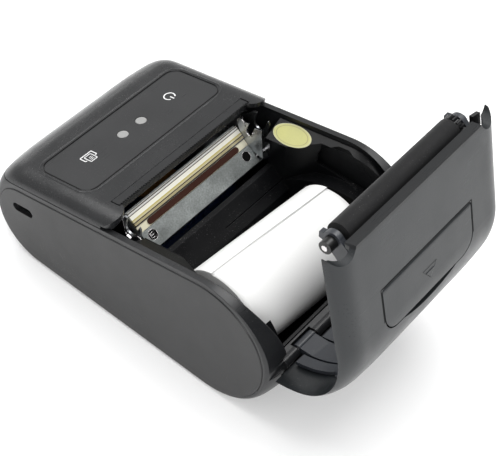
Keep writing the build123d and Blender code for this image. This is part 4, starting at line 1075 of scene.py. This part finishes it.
# %% Floor
FLOOR = 4.0
floor_data = bpy.data.meshes.new("floor")
floor_corners = [(-FLOOR, -FLOOR, 0), (FLOOR, -FLOOR, 0), (FLOOR, FLOOR, 0), (-FLOOR, FLOOR, 0)]
floor_data.from_pydata(floor_corners, [], [(0, 1, 2, 3)])
floor = bpy.data.objects.new("floor", floor_data)
bpy.context.scene.collection.objects.link(floor)
floor_mat = bpy.data.materials.new("floor_paper")
floor_mat.use_nodes = True
floor_shader = next(n for n in floor_mat.node_tree.nodes if n.type == "BSDF_PRINCIPLED")
floor_shader.inputs["Base Color"].default_value = (0.97, 0.97, 0.97, 1)
floor_shader.inputs["Roughness"].default_value = 0.8
floor_shader.inputs["Specular IOR Level"].default_value = 0.1
floor_data.materials.append(floor_mat)
print("floor: %.0f m wide" % (2 * FLOOR))

# %% [markdown]
# ## Surroundings
# Dark plastic shows mostly what it mirrors, so the surroundings matter more than the lamps. An
# image of a studio would do; a white world that fades towards the back and towards the ground
# gives the same calm gradients without one.

# %% White room
world = bpy.data.worlds.new("studio")
bpy.context.scene.world = world
world.use_nodes = True
sky = world.node_tree
background = next(n for n in sky.nodes if n.type == "BACKGROUND")
direction = node(sky, "ShaderNodeTexCoord", -900, 0)
parts = node(sky, "ShaderNodeSeparateXYZ", -700, 0)
sky.links.new(direction.outputs["Generated"], parts.inputs[0])
front_back = ramp(sky, parts.outputs["Y"], -0.8, 0.7, 1.0, 0.62, -450, 100)
height = ramp(sky, parts.outputs["Z"], -0.2, 0.9, 0.55, 1.0, -450, -100)
strength = math_node(sky, "MULTIPLY", front_back, height, -200, 0)
sky.links.new(strength, background.inputs["Strength"])
background.inputs["Color"].default_value = (1.0, 1.0, 1.0, 1)
print("world:", world.name)

# %% [markdown]
# ## Lamps
# Four soft lamps, as for a small product: a key from the front, one overhead, a large one
# from the hinge side that fills the open well and the roll, and a faint strip low in front
# for the nose. Small lamps would throw hard shadows into the well. The plain view transform
# keeps the paper and the background white.

# %% Lamps


def lamp(name, place, target, size, power):
    light = bpy.data.lights.new(name, "AREA")
    light.shape = "RECTANGLE"
    light.size, light.size_y = size
    light.energy = power
    obj = bpy.data.objects.new(name, light)
    bpy.context.scene.collection.objects.link(obj)
    obj.location = place
    aim = Vector(target) - Vector(place)
    obj.rotation_euler = aim.to_track_quat("-Z", "Y").to_euler()


LAMPS = (
    ("lamp_front_strip", (-0.46, -0.76, 0.13), (0, -0.05, 0.04), (0.62, 0.10), 0.25),
    ("lamp_key", (0.05, -0.50, 0.72), (0, 0, 0.03), (0.55, 0.35), 2.8),
    ("lamp_over", (-0.35, 0.05, 0.75), (0, 0, 0.03), (0.45, 0.45), 3.0),
    ("lamp_side", (0.42, 0.72, 0.55), (0, 0, 0.04), (0.6, 0.5), 5.6))
for row in LAMPS:
    lamp(*row)
bpy.context.scene.view_settings.view_transform = "Standard"
print("lamps:", len(LAMPS))

# %% [markdown]
# ## Camera
# The camera stands where the photograph was taken from: its directions and lens were solved
# from the outlines of the side plates and the key panel. It could be placed by eye, but that
# would bend every comparison with the photograph.

# %% Camera
CAMERA_AT, LENS = (247.0, 189.0, 377.8), 95.6
right = Vector((-0.6308, 0.7727, 0.0709)).normalized()
forward = Vector((-0.5398, -0.3713, -0.7555)).normalized()
up = right.cross(forward).normalized()
camera_data = bpy.data.cameras.new("camera")
camera = bpy.data.objects.new("camera", camera_data)
bpy.context.scene.collection.objects.link(camera)
bpy.context.scene.camera = camera
turn = Matrix((right, up, -forward)).transposed().to_4x4()
camera.matrix_world = Matrix.Translation(mm(*CAMERA_AT)) @ turn
camera_data.sensor_width = 36.0
camera_data.lens = LENS
camera_data.clip_start = 0.01
camera_data.clip_end = 20.0
print("camera lens", round(camera_data.lens, 1))

# %% [markdown]
# The finished printer mustn't be larger than the solid model.
